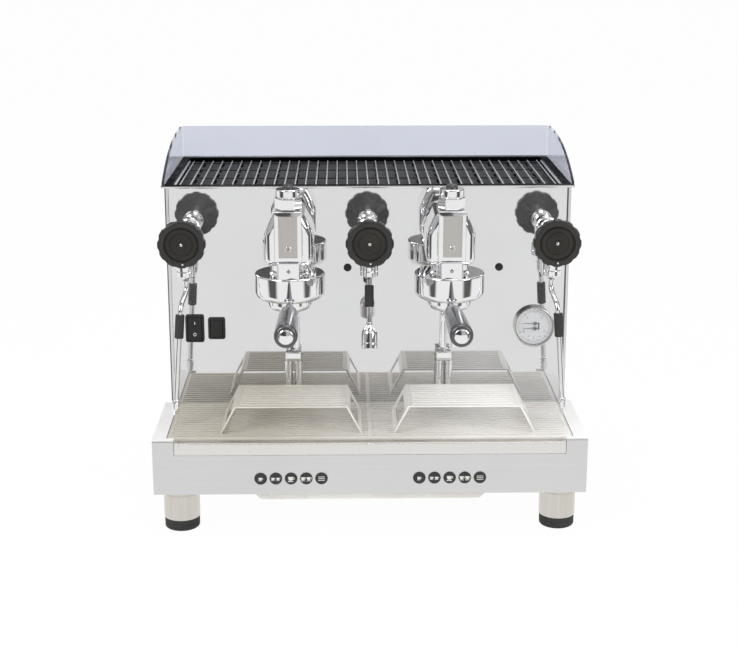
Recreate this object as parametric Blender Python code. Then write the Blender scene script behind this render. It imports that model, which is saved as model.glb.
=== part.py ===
# Two-group espresso machine with bell-shaped brew groups, two steam taps, a hot-water tap and
# push-button dosing. Metres, +Z up. The front faces -Y and the origin is the middle of the footprint.
import math

import bmesh
import bpy
from mathutils import Matrix, Vector

# Clearances and sheet
GAP = 0.0003
SHEET = 0.002
CUT = 0.010

# Overall frame
BASE_WIDTH = 0.640
BASE_HEIGHT = 0.085
BODY_WIDTH = 0.620
BODY_DEPTH = 0.300
TRAY_REACH = 0.179
PANEL_RISE = 0.345

# Feet
FOOT_HEIGHT = 0.068
PAD_HEIGHT = 0.017
FOOT_RADIUS = 0.0270
PAD_RADIUS = 0.0262
PAD_EDGE = 0.006
FOOT_INSET = 0.009
FOOT_SETBACK = 0.020
FOOT_REAR_INSET = 0.008
FOOT_REAR_SETBACK = 0.030

# Base: rim, grid recess, tray channel, drain box
RIM_WIDTH = 0.020
LEDGE = 0.0115
FRONT_EDGE = 0.009
RIM_ROUND = 0.004
GRID_DROP = 0.002
GRID_THICK = 0.004
CHANNEL_DEPTH = 0.0245
TRAY_WALL = 0.0015
TRAY_LIP_DROP = 0.0066
TRAY_FRONT = 0.0030
DRAIN_BOX_WIDTH = 0.349
DRAIN_BOX_DEPTH = 0.120
DRAIN_BOX_HEIGHT = 0.0120
DRAIN_BOX_SETBACK = 0.010
DRAIN_BOX_SLOPE = 0.012
GLAND_RADIUS = 0.011
GLAND_BORE = 0.006
GLAND_LENGTH = 0.014
GLAND_NECK_RADIUS = 0.0085
GLAND_RISE = 0.005
GLAND_OFFSET = 0.180
GLAND_SETBACK = 0.050

# Drip grid and cup risers
SLAT_PITCH = 0.010
SLAT_SHARE = 0.45
GRID_BORDER = 0.006
GRID_FRONT_SLOT = 0.006
GRID_BAYS = 2
RISER_SHELF = 0.168
RISER_FOOT = 0.211
RISER_DEPTH = 0.107
RISER_HEIGHT = 0.042
RISER_SHEET = 0.0022
RISER_BORDER = 0.007
RISER_SETBACK = 0.0400
RISER_RIGHT_SHIFT = 0.0235

# Body panels
EDGE = 0.006
EDGE_LIP = 0.012
FLANGE = 0.004
CUP_OVERHANG = 0.005
CUP_WELL_INSET = 0.010
CUP_WELL_DEPTH = 0.014
CUP_PROUD = 0.003
ROD_PITCH = 0.016
ROD_WIDTH = 0.003
ROD_THICK = 0.004
ROD_CROSS = 0.006
ROD_BORDER = 0.004
ROD_DROP = 0.0006
ROD_REAR_GAP = 0.030
VENT_WIDTH = 0.012
VENT_LENGTH = 0.120
VENT_COUNT = 7
LOUVRE_COUNT = 7
LOUVRE_PITCH = 0.026
LOUVRE_HEIGHT = 0.006
LOUVRE_LENGTH = 0.180
LOUVRE_CENTRE = 0.145

# Cup guard
GUARD_HEIGHT = 0.052
GUARD_SHEET = 0.004
GUARD_BEND = 0.009
GUARD_INSET = 0.001
GUARD_REAR_INSET = 0.010
GUARD_CURVE_SHARE = 2.8

# Push-buttons
BUTTON_PITCH = 0.0224
BUTTON_RADIUS = 0.0092
BUTTON_DROP = 0.0605
BUTTON_PROUD = 0.0015
BUTTON_FLANGE = 0.0016
BUTTON_FLANGE_THICK = 0.0020
BUTTON_EDGE = 0.0009

# Switches and pressure gauge on the panel
MAIN_SWITCH_INSET = 0.0400
MAIN_SWITCH_WIDTH = 0.029
MAIN_SWITCH_HEIGHT = 0.044
SWITCH_SPACING = 0.0339
SIDE_SWITCH_WIDTH = 0.0266
SIDE_SWITCH_HEIGHT = 0.0345
SWITCH_DROP = 0.2240
SWITCH_PROUD = 0.0030
SWITCH_DEPTH = 0.024
SWITCH_RIM = 0.0035
SWITCH_BODY_INSET = 0.0022
SWITCH_POCKET = 0.010
SWITCH_CORNER = 0.0030
ROCKER_PLAY = 0.0007
ROCKER_PROUD = 0.0016
ROCKER_DISH = 0.0012
ROCKER_BACK = 0.0035
ROCKER_BACK_SHARE = 0.78
ROCKER_TILT = math.radians(7)
GAUGE_INSET = 0.0518
GAUGE_DROP = 0.2222
GAUGE_RADIUS = 0.0315
GAUGE_PROUD = 0.0120
GAUGE_BEZEL = 0.0030
GAUGE_BODY = 0.0285
GAUGE_DEPTH = 0.026
GAUGE_DIAL_DEPTH = 0.0065
GAUGE_GLASS = 0.0016
GAUGE_GLASS_DEPTH = 0.0010
NEEDLE_HUB = 0.0028
NEEDLE_LENGTH = 0.0190
NEEDLE_TAIL = 0.0055
NEEDLE_WIDTH = 0.0012
NEEDLE_THICK = 0.0010
NEEDLE_PIN = 0.0010
NEEDLE_PIN_LENGTH = 0.0030
NEEDLE_OFFSET = 0.0015
NEEDLE_UPPER_RISE = 0.0048
NEEDLE_LOWER_DROP = 0.0028

# Brew groups
GROUP_SPACING = 0.234
GROUP_REACH = 0.115
BELL_RISE = 0.199
BELL_RADIUS = 0.0515
BELL_HEIGHT = 0.038
BELL_ROUND = 0.0110
BELL_EDGE = 0.0025
BELL_SKIRT = 0.0410
BORE_RADIUS = 0.0385
BORE_DEPTH = 0.0260
LIP_RADIUS = 0.0335
LIP_HEIGHT = 0.0060
EAR_HALF_WIDTH = 0.0070
EAR_HEIGHT = 0.0060
EAR_PLAY = 0.0007
UNLOCK_ANGLE = math.radians(45)
THROAT_RADIUS = 0.0280
CASTING_BASE = 0.0515
CASTING_SHOULDER = 0.0990
CASTING_TOP = 0.1340
CASTING_HALF_WIDTH = 0.0355
CASTING_TOP_HALF_WIDTH = 0.0200
CASTING_FRONT = 0.0295
CASTING_BACK = 0.0560
CASTING_BEVEL = 0.004
COLUMN_HALF_WIDTH = 0.0190
COLUMN_FRONT = 0.0455
COLUMN_BACK = 0.0060
COLUMN_TOP = 0.1360
COLUMN_BEVEL = 0.003
BOSS_HALF_WIDTH = 0.0165
BOSS_FRONT = 0.0495
BOSS_HEIGHT = 0.0640
NECK_RADIUS = 0.0245
NECK_RISE = 0.0780
NECK_STUB = 0.020
NECK_FLANGE_RADIUS = 0.0350
NECK_FLANGE = 0.009
COVER_HALF_WIDTH = 0.0197
COVER_THICK = 0.0055
COVER_BEVEL = 0.0036
HEX_RADIUS = 0.0195
HEX_HEIGHT = 0.0170
CAP_RADIUS = 0.0180
CAP_HEIGHT = 0.0125
CAP_CHAMFER = 0.0018
CAP_NUT_RADIUS = 0.0085
CAP_NUT_HEIGHT = 0.0050
CAP_SEAT_RADIUS = 0.0155
CAP_SEAT = 0.0008
GASKET_RADIUS = 0.0290
GASKET_DROP = 0.0050
SCREEN_DROP = 0.0034

# Portafilters and handles
BOWL_RADIUS = 0.0325
BOWL_WALL = 0.0040
BOWL_RIM = 0.0206
BOWL_FLOOR = 0.0120
BOWL_DROP = 0.0150
BOWL_FOOT_RADIUS = 0.0130
BOWL_FOOT = 0.0230
BOWL_DRAIN = 0.0045
SPOUT_HALF_SPAN = 0.0085
SPOUT_RADIUS = 0.0052
SPOUT_BORE = 0.0036
SPOUT_BORE_DEPTH = 0.018
SPOUT_BLOCK = 0.0120
SPOUT_BLOCK_HALF_DEPTH = 0.0075
SPOUT_DROP = 0.0770
ARM_RADIUS = 0.0075
ARM_DROP = 0.0095
ARM_LENGTH = 0.0560
ARM_ROOT = 0.0240
STUD_RADIUS = 0.0040
STUD_LENGTH = 0.020
HANDLE_LENGTH = 0.1290
HANDLE_ROOT_RADIUS = 0.0115
HANDLE_WAIST_RADIUS = 0.0138
HANDLE_END_RADIUS = 0.0162
HANDLE_COLLAR = 0.006
HANDLE_DISC_RADIUS = 0.0107
HANDLE_DOME = 0.0030
HANDLE_RIM_ROUND = 0.0050
RIGHT_HANDLE_TURN = math.radians(1.5)

# Taps, wheels and wands
TAP_INSET = 0.0365
TAP_DROP = 0.0655
TAP_FLANGE_RADIUS = 0.0170
TAP_FLANGE = 0.006
TAP_NECK_RADIUS = 0.0110
TAP_BODY_RADIUS = 0.0155
TAP_BODY_HALF = 0.0130
TAP_REACH = 0.070
TAP_BONNET_RADIUS = 0.0120
TAP_BONNET = 0.0090
TAP_STUB = 0.018
TAP_STUB_RADIUS = 0.0085
SPINDLE_RADIUS = 0.0040
SPINDLE_LENGTH = 0.022
WHEEL_REACH = 0.124
WHEEL_RADIUS = 0.0352
WHEEL_THICK = 0.030
WHEEL_RIM = 0.0140
WHEEL_RIM_ROUND = 0.0030
WHEEL_DISC_RADIUS = 0.0232
WHEEL_GROOVE = 0.0028
WHEEL_GROOVE_DEPTH = 0.0018
WHEEL_HUB_RADIUS = 0.0120
WHEEL_BORE_DEPTH = 0.020
WHEEL_LOBES = 12
WHEEL_LOBE_SHARE = 0.050
BALL_RADIUS = 0.0090
BALL_DROP = 0.0555
SOCKET_RADIUS = 0.0135
SOCKET_TOP = 0.0160
SOCKET_OPENING = math.radians(68)
BRANCH_RADIUS = 0.0090
WAND_RADIUS = 0.0040
WAND_BEND = 0.008
WAND_DROP = 0.0260
WAND_SIDE = 0.0070
WAND_FORWARD = 0.0280
WAND_ELBOW = 0.0440
WAND_TIP_SIDE = 0.0185
WAND_TIP_FORWARD = 0.0400
WAND_TIP_CLEARANCE = 0.0180
WAND_TIP = 0.024
WAND_TIP_SHARE = 1.45
WAND_TIP_END_SHARE = 0.75
GRIP_RADIUS = 0.0068
GRIP_LENGTH = 0.036
GRIP_START = 0.011
GRIP_ROUND = 0.0015
WATER_LEAN = math.radians(15)
WATER_GRIP_START = 0.0175
WATER_GRIP_LENGTH = 0.033
WATER_NOZZLE_START = 0.0760
WATER_NOZZLE_LENGTH = 0.0370
WATER_NOZZLE_SHARE = 3.05
WATER_NECK_SHARE = 0.85
WATER_TAPER_SHARE = 0.72

# Discharge pipes under the groups
DRAIN_REACH = 0.018
DRAIN_RISE = 0.088
DRAIN_BLOCK_HEIGHT = 0.015
DRAIN_BLOCK_HALF_WIDTH = 0.0120
DRAIN_BLOCK_HALF_DEPTH = 0.0065
DRAIN_TUBE_RADIUS = 0.0042
DRAIN_TUBE_SPREAD = 0.0077
DRAIN_CLEARANCE = 0.014
DRAIN_INLET_RADIUS = 0.0070
DRAIN_INLET_STUB = 0.012

# Inside the body
BOILER_RADIUS = 0.080
BOILER_LENGTH = 0.400
BOILER_CENTRE = 0.150
BOILER_RISE = 0.235
BOILER_DOME = 0.020
BOILER_FLANGE_RADIUS = 0.090
BOILER_FLANGE = 0.008
BOILER_WALL = 0.004
HEATER_PORT_RADIUS = 0.022
SADDLE_SPACING = 0.290
SADDLE_THICK = 0.006
SADDLE_HALF_DEPTH = 0.060
PUMP_RADIUS = 0.044
PUMP_LENGTH = 0.130
PUMP_HEAD_RADIUS = 0.026
PUMP_HEAD_LENGTH = 0.075
PUMP_FOOT_HALF_WIDTH = 0.040
PUMP_FOOT_HEIGHT = 0.012
PUMP_CLEARANCE = 0.007
PUMP_DEPTH = 0.180

# Derived levels and planes
FRONT_REACH = GROUP_REACH + ARM_LENGTH + GAP + HANDLE_LENGTH + HANDLE_DOME
PANEL_Y = (FRONT_REACH - BODY_DEPTH) / 2
FRONT_Y = PANEL_Y - TRAY_REACH
REAR_Y = PANEL_Y + BODY_DEPTH
BASE_Z = FOOT_HEIGHT
RIM_Z = BASE_Z + BASE_HEIGHT
TOP_Z = RIM_Z + PANEL_RISE
SHELL_TOP = TOP_Z - FLANGE - GAP
FLOOR_Z = BASE_Z + SHEET
INNER_X = BODY_WIDTH / 2 - EDGE - GAP
RECESS_X = BASE_WIDTH / 2 - RIM_WIDTH
CHANNEL_X = RECESS_X - LEDGE
CHANNEL_Z = RIM_Z - CHANNEL_DEPTH
LEDGE_Z = RIM_Z - GRID_DROP - GRID_THICK - GAP
GRID_Z = RIM_Z - GRID_DROP
GROUP_Y = PANEL_Y - GROUP_REACH
BELL_Z = RIM_Z + BELL_RISE
TAP_Y = PANEL_Y - TAP_REACH
PUMP_X = (SADDLE_THICK - SADDLE_SPACING + PUMP_LENGTH) / 2 + PUMP_CLEARANCE
TAP_Z = TOP_Z - TAP_DROP
BALL_Z = TAP_Z - BALL_DROP
SWITCH_Z = TOP_Z - SWITCH_DROP
GAUGE_Z = TOP_Z - GAUGE_DROP
BUTTON_Z = RIM_Z - BUTTON_DROP
GROUP_XS = (-GROUP_SPACING / 2, GROUP_SPACING / 2)
RISER_XS = (GROUP_XS[0], GROUP_XS[1] + RISER_RIGHT_SHIFT)
TAP_XS = (TAP_INSET - BODY_WIDTH / 2, 0, BODY_WIDTH / 2 - TAP_INSET)
MAIN_SWITCH_X = MAIN_SWITCH_INSET - BODY_WIDTH / 2
SIDE_SWITCH_X = MAIN_SWITCH_X + SWITCH_SPACING
GAUGE_X = BODY_WIDTH / 2 - GAUGE_INSET
SIDES = ("left", "right")
TAP_SIDES = ("left", "centre", "right")

# Facet counts
FINE = 28
MEDIUM = 20
COARSE = 14
SMALL = 10
BUTTON_SIDES = 12
ARC_STEPS = 3
SHARP_ANGLE = math.radians(38)


def clear_scene():
    for item in list(bpy.data.objects):
        bpy.data.objects.remove(item, do_unlink=True)


def finish(name, colour, roughness, metallic, alpha=1.0):
    # One Principled material, reused by name
    found = bpy.data.materials.get(name)
    if found:
        return found
    made = bpy.data.materials.new(name)
    made.use_nodes = True
    shader = made.node_tree.nodes["Principled BSDF"]
    shader.inputs["Base Color"].default_value = (*colour, 1.0)
    shader.inputs["Roughness"].default_value = roughness
    shader.inputs["Metallic"].default_value = metallic
    shader.inputs["Alpha"].default_value = alpha
    return made


def mirror_steel():
    return finish("mirror_steel", (0.72, 0.71, 0.69), 0.12, 1.0)


def brushed_steel():
    return finish("brushed_steel", (0.62, 0.60, 0.57), 0.38, 1.0)


def chrome():
    return finish("chrome", (0.80, 0.80, 0.80), 0.08, 1.0)


def satin_nickel():
    return finish("satin_nickel", (0.62, 0.60, 0.56), 0.35, 1.0)


def black_plastic():
    return finish("black_plastic", (0.022, 0.021, 0.020), 0.42, 0.0)


def black_rubber():
    return finish("black_rubber", (0.03, 0.03, 0.03), 0.85, 0.0)


def dark_handle():
    return finish("dark_handle", (0.16, 0.16, 0.17), 0.25, 0.6)


def acrylic():
    return finish("acrylic", (0.62, 0.66, 0.74), 0.10, 0.0, 0.55)


def white_dial():
    return finish("white_dial", (0.90, 0.90, 0.88), 0.5, 0.0)


def copper():
    return finish("copper", (0.72, 0.40, 0.26), 0.35, 1.0)


def grey_cast():
    return finish("grey_cast", (0.35, 0.36, 0.37), 0.6, 0.4)


def add(name, shape, material, at=(0, 0, 0), smooth=True, turn=None):
    # Puts a shape into the scene as one named object whose origin is its joint or seat
    mesh = bpy.data.meshes.new(name)
    shape.to_mesh(mesh)
    shape.free()
    if smooth:
        mesh.shade_smooth()
        mesh.set_sharp_from_angle(angle=SHARP_ANGLE)
    item = bpy.data.objects.new(name, mesh)
    bpy.context.scene.collection.objects.link(item)
    item.location = at
    if turn is not None:
        item.rotation_euler = (0, 0, turn)
    if material:
        mesh.materials.append(material)
    return item


def add_copy(name, source, at):
    # A second object on the same mesh
    item = bpy.data.objects.new(name, source.data)
    bpy.context.scene.collection.objects.link(item)
    item.location = at
    return item


def combine(target, shape, operation, name):
    # Boolean with a hidden guide that shares the target's origin
    guide = add(name, shape, None, target.location, smooth=False)
    guide.rotation_euler = target.rotation_euler
    guide.hide_render = True
    guide.display_type = "WIRE"
    step = target.modifiers.new(name, "BOOLEAN")
    step.operation = operation
    step.solver = "EXACT"
    step.object = guide
    return target


def block(low, high):
    # A box between two corners
    shape = bmesh.new()
    bmesh.ops.create_cube(shape, size=1)
    span = [b - a for a, b in zip(low, high)]
    middle = [(a + b) / 2 for a, b in zip(low, high)]
    bmesh.ops.scale(shape, vec=span, verts=shape.verts)
    bmesh.ops.translate(shape, vec=middle, verts=shape.verts)
    return shape


def bevel(shape, width, segments, axis=None):
    # Bevels every edge, or only those along one axis
    edges = []
    for edge in shape.edges:
        run = (edge.verts[1].co - edge.verts[0].co).normalized()
        if axis is None or abs(run[axis]) > 1 - SHARP_ANGLE * SHARP_ANGLE / 2:
            edges.append(edge)
    bmesh.ops.bevel(shape, geom=edges, offset=width, segments=segments, profile=0.5, affect="EDGES")
    return shape


def prism(outline, start, end, axis):
    # Extrudes a closed outline along an axis: the outline's two values fill the other two axes in order
    shape = bmesh.new()
    corners = []
    for first, second in outline:
        place = [first, second]
        place.insert(axis, start)
        corners.append(shape.verts.new(place))
    face = shape.faces.new(corners)
    grown = bmesh.ops.extrude_face_region(shape, geom=[face])
    moved = [part for part in grown["geom"] if isinstance(part, bmesh.types.BMVert)]
    step = [0, 0, 0]
    step[axis] = end - start
    bmesh.ops.translate(shape, vec=step, verts=moved)
    bmesh.ops.recalc_face_normals(shape, faces=shape.faces)
    return shape


def turned(profile, steps, closed=False):
    # Spins an outline of (radius, height) pairs about Z
    shape = bmesh.new()
    points = [shape.verts.new((radius, 0, height)) for radius, height in profile]
    pairs = list(zip(points, points[1:]))
    if closed:
        pairs.append((points[-1], points[0]))
    lines = [shape.edges.new(pair) for pair in pairs]
    bmesh.ops.spin(
        shape, geom=points + lines, cent=(0, 0, 0), axis=(0, 0, 1),
        angle=math.tau, steps=steps, use_merge=True,
    )
    bmesh.ops.remove_doubles(shape, verts=shape.verts, dist=GAP / 100)
    bmesh.ops.recalc_face_normals(shape, faces=shape.faces)
    return shape


def lay_forward(shape, at=(0, 0, 0)):
    # Turns a shape's +Z to -Y, so a turned profile's height runs out of the panel
    bmesh.ops.rotate(shape, cent=(0, 0, 0), matrix=Matrix.Rotation(math.pi / 2, 3, "X"), verts=shape.verts)
    bmesh.ops.translate(shape, vec=at, verts=shape.verts)
    return shape


def shift(shape, at):
    bmesh.ops.translate(shape, vec=at, verts=shape.verts)
    return shape


def rod(radius, start, end, steps):
    # A plain round bar along Z
    return turned([(0, start), (radius, start), (radius, end), (0, end)], steps)


def merge(shapes):
    # Several shapes as one, for a guide that cuts or adds them together
    whole = bmesh.new()
    for shape in shapes:
        mesh = bpy.data.meshes.new("piece")
        shape.to_mesh(mesh)
        shape.free()
        whole.from_mesh(mesh)
        bpy.data.meshes.remove(mesh)
    return whole


def arc(centre, radius, start, end, steps):
    # Points of an arc from one angle to another
    points = []
    for step in range(steps + 1):
        angle = start + (end - start) * step / steps
        points.append((centre[0] + radius * math.cos(angle), centre[1] + radius * math.sin(angle)))
    return points


def lattice(columns, rows, low, high, holes):
    # A plate with rectangular holes: columns and rows are the cut lines, holes the open cells
    shape = bmesh.new()
    corners = {}

    def corner(i, j):
        if (i, j) not in corners:
            corners[(i, j)] = shape.verts.new((columns[i], rows[j], low))
        return corners[(i, j)]

    for i in range(len(columns) - 1):
        for j in range(len(rows) - 1):
            if not holes(i, j):
                shape.faces.new((corner(i, j), corner(i + 1, j), corner(i + 1, j + 1), corner(i, j + 1)))
    grown = bmesh.ops.extrude_face_region(shape, geom=list(shape.faces))
    moved = [part for part in grown["geom"] if isinstance(part, bmesh.types.BMVert)]
    bmesh.ops.translate(shape, vec=(0, 0, high - low), verts=moved)
    bmesh.ops.recalc_face_normals(shape, faces=shape.faces)
    return shape


def stripes(low, high, border, pitch, share):
    # Cut lines for a row of equal bars: border, then slot and bar in turn, then border
    inner = high - low - 2 * border
    count = max(1, round(inner / pitch))
    step = (inner + share * pitch) / count
    lines = [low]
    for index in range(count):
        start = low + border + index * step
        lines += [start, start + step - share * pitch]
    lines.append(high)
    return lines


def base_frame():
    width = BASE_WIDTH / 2
    back = PANEL_Y - GAP
    housing = block((-width, FRONT_Y, BASE_Z), (width, back, RIM_Z))
    edges = [edge for edge in housing.edges if all(
        abs(point.co.y - FRONT_Y) < GAP and abs(point.co.z - RIM_Z) < GAP for point in edge.verts)]
    bmesh.ops.bevel(housing, geom=edges, offset=RIM_ROUND, segments=3, profile=0.5, affect="EDGES")
    frame = add("base_frame", housing, brushed_steel(), smooth=False)
    floor = block((-INNER_X, back - CUT, BASE_Z), (INNER_X, REAR_Y - SHEET - GAP, FLOOR_Z))
    combine(frame, floor, "UNION", "floor_plate")
    over = PANEL_Y + CUT
    recess = block((-RECESS_X, FRONT_Y + FRONT_EDGE, LEDGE_Z), (RECESS_X, over, RIM_Z + CUT))
    channel = block((-CHANNEL_X, FRONT_Y - CUT, CHANNEL_Z), (CHANNEL_X, over, RIM_Z + 2 * CUT))
    combine(frame, recess, "DIFFERENCE", "grid_recess")
    combine(frame, channel, "DIFFERENCE", "tray_channel")
    inner = width - SHEET
    cavity = block((-inner, FRONT_Y + SHEET, FLOOR_Z), (inner, over, CHANNEL_Z - SHEET))
    combine(frame, cavity, "DIFFERENCE", "wiring_space")
    gland_at = (GLAND_OFFSET, REAR_Y - GLAND_SETBACK, 0)
    holes = [shift(rod(GLAND_NECK_RADIUS + GAP, BASE_Z - CUT, FLOOR_Z + CUT, COARSE), gland_at)]
    for x in button_places():
        hole = lay_forward(rod(BUTTON_RADIUS + GAP, -CUT, CUT, BUTTON_SIDES), (x, FRONT_Y, BUTTON_Z))
        holes.append(hole)
    combine(frame, merge(holes), "DIFFERENCE", "button_holes")


def cable_gland():
    # Bored bush whose neck passes through the floor
    low = BASE_Z - GLAND_LENGTH
    top = BASE_Z - GAP
    high = FLOOR_Z + GLAND_RISE
    profile = [
        (GLAND_BORE, low), (GLAND_RADIUS, low), (GLAND_RADIUS, top), (GLAND_NECK_RADIUS, top),
        (GLAND_NECK_RADIUS, high), (GLAND_BORE, high),
    ]
    at = (GLAND_OFFSET, REAR_Y - GLAND_SETBACK, 0)
    add("cable_gland", turned(profile, COARSE, closed=True), black_plastic(), at)


def drain_box():
    # Shallow pan with sloping ends, open under the base
    half = DRAIN_BOX_WIDTH / 2
    front = FRONT_Y + DRAIN_BOX_SETBACK
    rear = front + DRAIN_BOX_DEPTH
    top = BASE_Z - GAP
    low = top - DRAIN_BOX_HEIGHT
    foot = half - DRAIN_BOX_SLOPE
    outline = [(-half, top), (-foot, low), (foot, low), (half, top)]
    box = add("drain_box", prism(outline, front, rear, 1), brushed_steel(), smooth=False)
    inner = half - 2 * SHEET
    floor = foot - SHEET / 2
    outline = [(-inner, top + SHEET), (-floor, low + SHEET), (floor, low + SHEET), (inner, top + SHEET)]
    combine(box, prism(outline, front + SHEET, rear - SHEET, 1), "DIFFERENCE", "drain_box_space")


def feet():
    # Rubber pad with a rounded tread under a plain steel sleeve
    wide = BASE_WIDTH / 2 - FOOT_INSET - FOOT_RADIUS
    narrow = BODY_WIDTH / 2 - FOOT_REAR_INSET - FOOT_RADIUS
    front = FRONT_Y + FOOT_SETBACK + FOOT_RADIUS
    rear = REAR_Y - FOOT_REAR_SETBACK - FOOT_RADIUS
    top = BASE_Z - GAP
    profile = [(0, 0), (PAD_RADIUS - PAD_EDGE, 0)]
    profile += arc((PAD_RADIUS - PAD_EDGE, PAD_EDGE), PAD_EDGE, -math.pi / 3, 0, 2)
    profile += [(PAD_RADIUS, PAD_HEIGHT), (FOOT_RADIUS, PAD_HEIGHT), (FOOT_RADIUS, top), (0, top)]
    first = None
    for end, x, y in (("front", wide, front), ("rear", narrow, rear)):
        for side, sign in zip(SIDES, (-1, 1)):
            name = "foot_" + end + "_" + side
            if first is None:
                first = add(name, turned(profile, MEDIUM), satin_nickel(), (sign * x, y, 0))
            else:
                add_copy(name, first, (sign * x, y, 0))


def side_panels():
    for side, sign in zip(SIDES, (-1, 1)):
        inner = sign * (BODY_WIDTH / 2 - EDGE)
        outer = sign * BODY_WIDTH / 2
        low = (min(inner, outer), PANEL_Y, BASE_Z)
        high = (max(inner, outer), REAR_Y, SHELL_TOP)
        panel = add("side_panel_" + side, block(low, high), mirror_steel(), smooth=False)
        skin = outer - sign * SHEET
        past = inner - sign * CUT
        pocket_low = (min(skin, past), PANEL_Y + EDGE_LIP, BASE_Z + EDGE_LIP)
        pocket_high = (max(skin, past), REAR_Y - EDGE_LIP, SHELL_TOP - EDGE_LIP)
        combine(panel, block(pocket_low, pocket_high), "DIFFERENCE", "pocket_" + side)


def front_panel():
    low = (-INNER_X, PANEL_Y, FLOOR_Z + GAP)
    high = (INNER_X, PANEL_Y + SHEET, SHELL_TOP)
    panel = add("front_panel", block(low, high), mirror_steel(), smooth=False)
    holes = []

    def round_hole(x, z, radius, steps):
        holes.append(lay_forward(rod(radius + GAP, -CUT, CUT, steps), (x, PANEL_Y, z)))

    for x in GROUP_XS:
        round_hole(x, BELL_Z + NECK_RISE, NECK_RADIUS, MEDIUM)
        round_hole(x, RIM_Z + DRAIN_RISE - DRAIN_BLOCK_HEIGHT / 2, DRAIN_INLET_RADIUS, SMALL)
    for x in TAP_XS:
        round_hole(x, TAP_Z, TAP_STUB_RADIUS, MEDIUM)
    round_hole(GAUGE_X, GAUGE_Z, GAUGE_BODY, FINE)
    for x, width, height in switch_sizes():
        half = width / 2 - SWITCH_BODY_INSET + GAP
        rise = height / 2 - SWITCH_BODY_INSET + GAP
        cut_low = (x - half, PANEL_Y - CUT, SWITCH_Z - rise)
        holes.append(block(cut_low, (x + half, PANEL_Y + CUT, SWITCH_Z + rise)))
    combine(panel, merge(holes), "DIFFERENCE", "panel_holes")


def rear_panel():
    # Built flat as a lattice, then stood up: rows are heights
    bottom = BASE_Z
    columns = [-INNER_X]
    for centre in (-LOUVRE_CENTRE, LOUVRE_CENTRE):
        columns += [centre - LOUVRE_LENGTH / 2, centre + LOUVRE_LENGTH / 2]
    columns.append(INNER_X)
    middle = (bottom + SHELL_TOP) / 2
    first = middle - (LOUVRE_COUNT - 1) / 2 * LOUVRE_PITCH
    rows = [bottom]
    for index in range(LOUVRE_COUNT):
        start = first + index * LOUVRE_PITCH - LOUVRE_HEIGHT / 2
        rows += [start, start + LOUVRE_HEIGHT]
    rows.append(SHELL_TOP)
    plate = lattice(columns, rows, 0, SHEET, lambda i, j: i % 2 == 1 and j % 2 == 1)
    bmesh.ops.rotate(plate, cent=(0, 0, 0), matrix=Matrix.Rotation(math.pi / 2, 3, "X"), verts=plate.verts)
    shift(plate, (0, REAR_Y, 0))
    add("rear_panel", plate, brushed_steel(), smooth=False)


def cup_tray():
    half = BODY_WIDTH / 2 + CUP_OVERHANG
    flange = block((-half, PANEL_Y - CUP_PROUD, TOP_Z - FLANGE), (half, REAR_Y, TOP_Z))
    tray = add("cup_tray", flange, brushed_steel(), smooth=False)
    well_x = BODY_WIDTH / 2 - CUP_WELL_INSET
    front = PANEL_Y + CUP_WELL_INSET
    rear = REAR_Y - GUARD_REAR_INSET - 2 * GUARD_SHEET
    bottom = TOP_Z - CUP_WELL_DEPTH
    pan = block((-well_x, front, bottom), (well_x, rear, TOP_Z - FLANGE / 2))
    combine(tray, pan, "UNION", "cup_pan")
    space_low = (-well_x + SHEET, front + SHEET, bottom + SHEET)
    combine(tray, block(space_low, (well_x - SHEET, rear - SHEET, TOP_Z + CUT)), "DIFFERENCE", "cup_space")
    vents = []
    span = 2 * well_x / (VENT_COUNT + 1)
    middle = (front + rear) / 2
    for index in range(VENT_COUNT):
        x = -well_x + span * (index + 1)
        vents.append(block(
            (x - VENT_WIDTH / 2, middle - VENT_LENGTH / 2, bottom - CUT),
            (x + VENT_WIDTH / 2, middle + VENT_LENGTH / 2, bottom + CUT),
        ))
    combine(tray, merge(vents), "DIFFERENCE", "tray_vents")


def cup_grid():
    # Bars run front to back; the cross bars below them stand on the tray floor
    well_x = BODY_WIDTH / 2 - CUP_WELL_INSET - SHEET - GAP
    front = PANEL_Y + CUP_WELL_INSET + SHEET + GAP
    rear = REAR_Y - GUARD_REAR_INSET - 2 * GUARD_SHEET - SHEET - ROD_REAR_GAP
    top = TOP_Z - ROD_DROP
    columns = stripes(-well_x, well_x, ROD_BORDER, ROD_PITCH, ROD_WIDTH / ROD_PITCH)
    rows = [front, front + ROD_CROSS, rear - ROD_CROSS, rear]
    bars = lattice(columns, rows, top - ROD_THICK, top, lambda i, j: i % 2 == 1 and j % 2 == 1)
    grid = add("cup_grid", bars, chrome(), smooth=False)
    floor = TOP_Z - CUP_WELL_DEPTH + SHEET + GAP
    legs = []
    inset = ROD_CROSS / 4
    for low, high in ((rows[0], rows[1]), (rows[2], rows[3])):
        leg_low = (-well_x + inset, low + inset, floor)
        legs.append(block(leg_low, (well_x - inset, high - inset, top - ROD_THICK / 2)))
    combine(grid, merge(legs), "UNION", "cross_bars")


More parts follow.
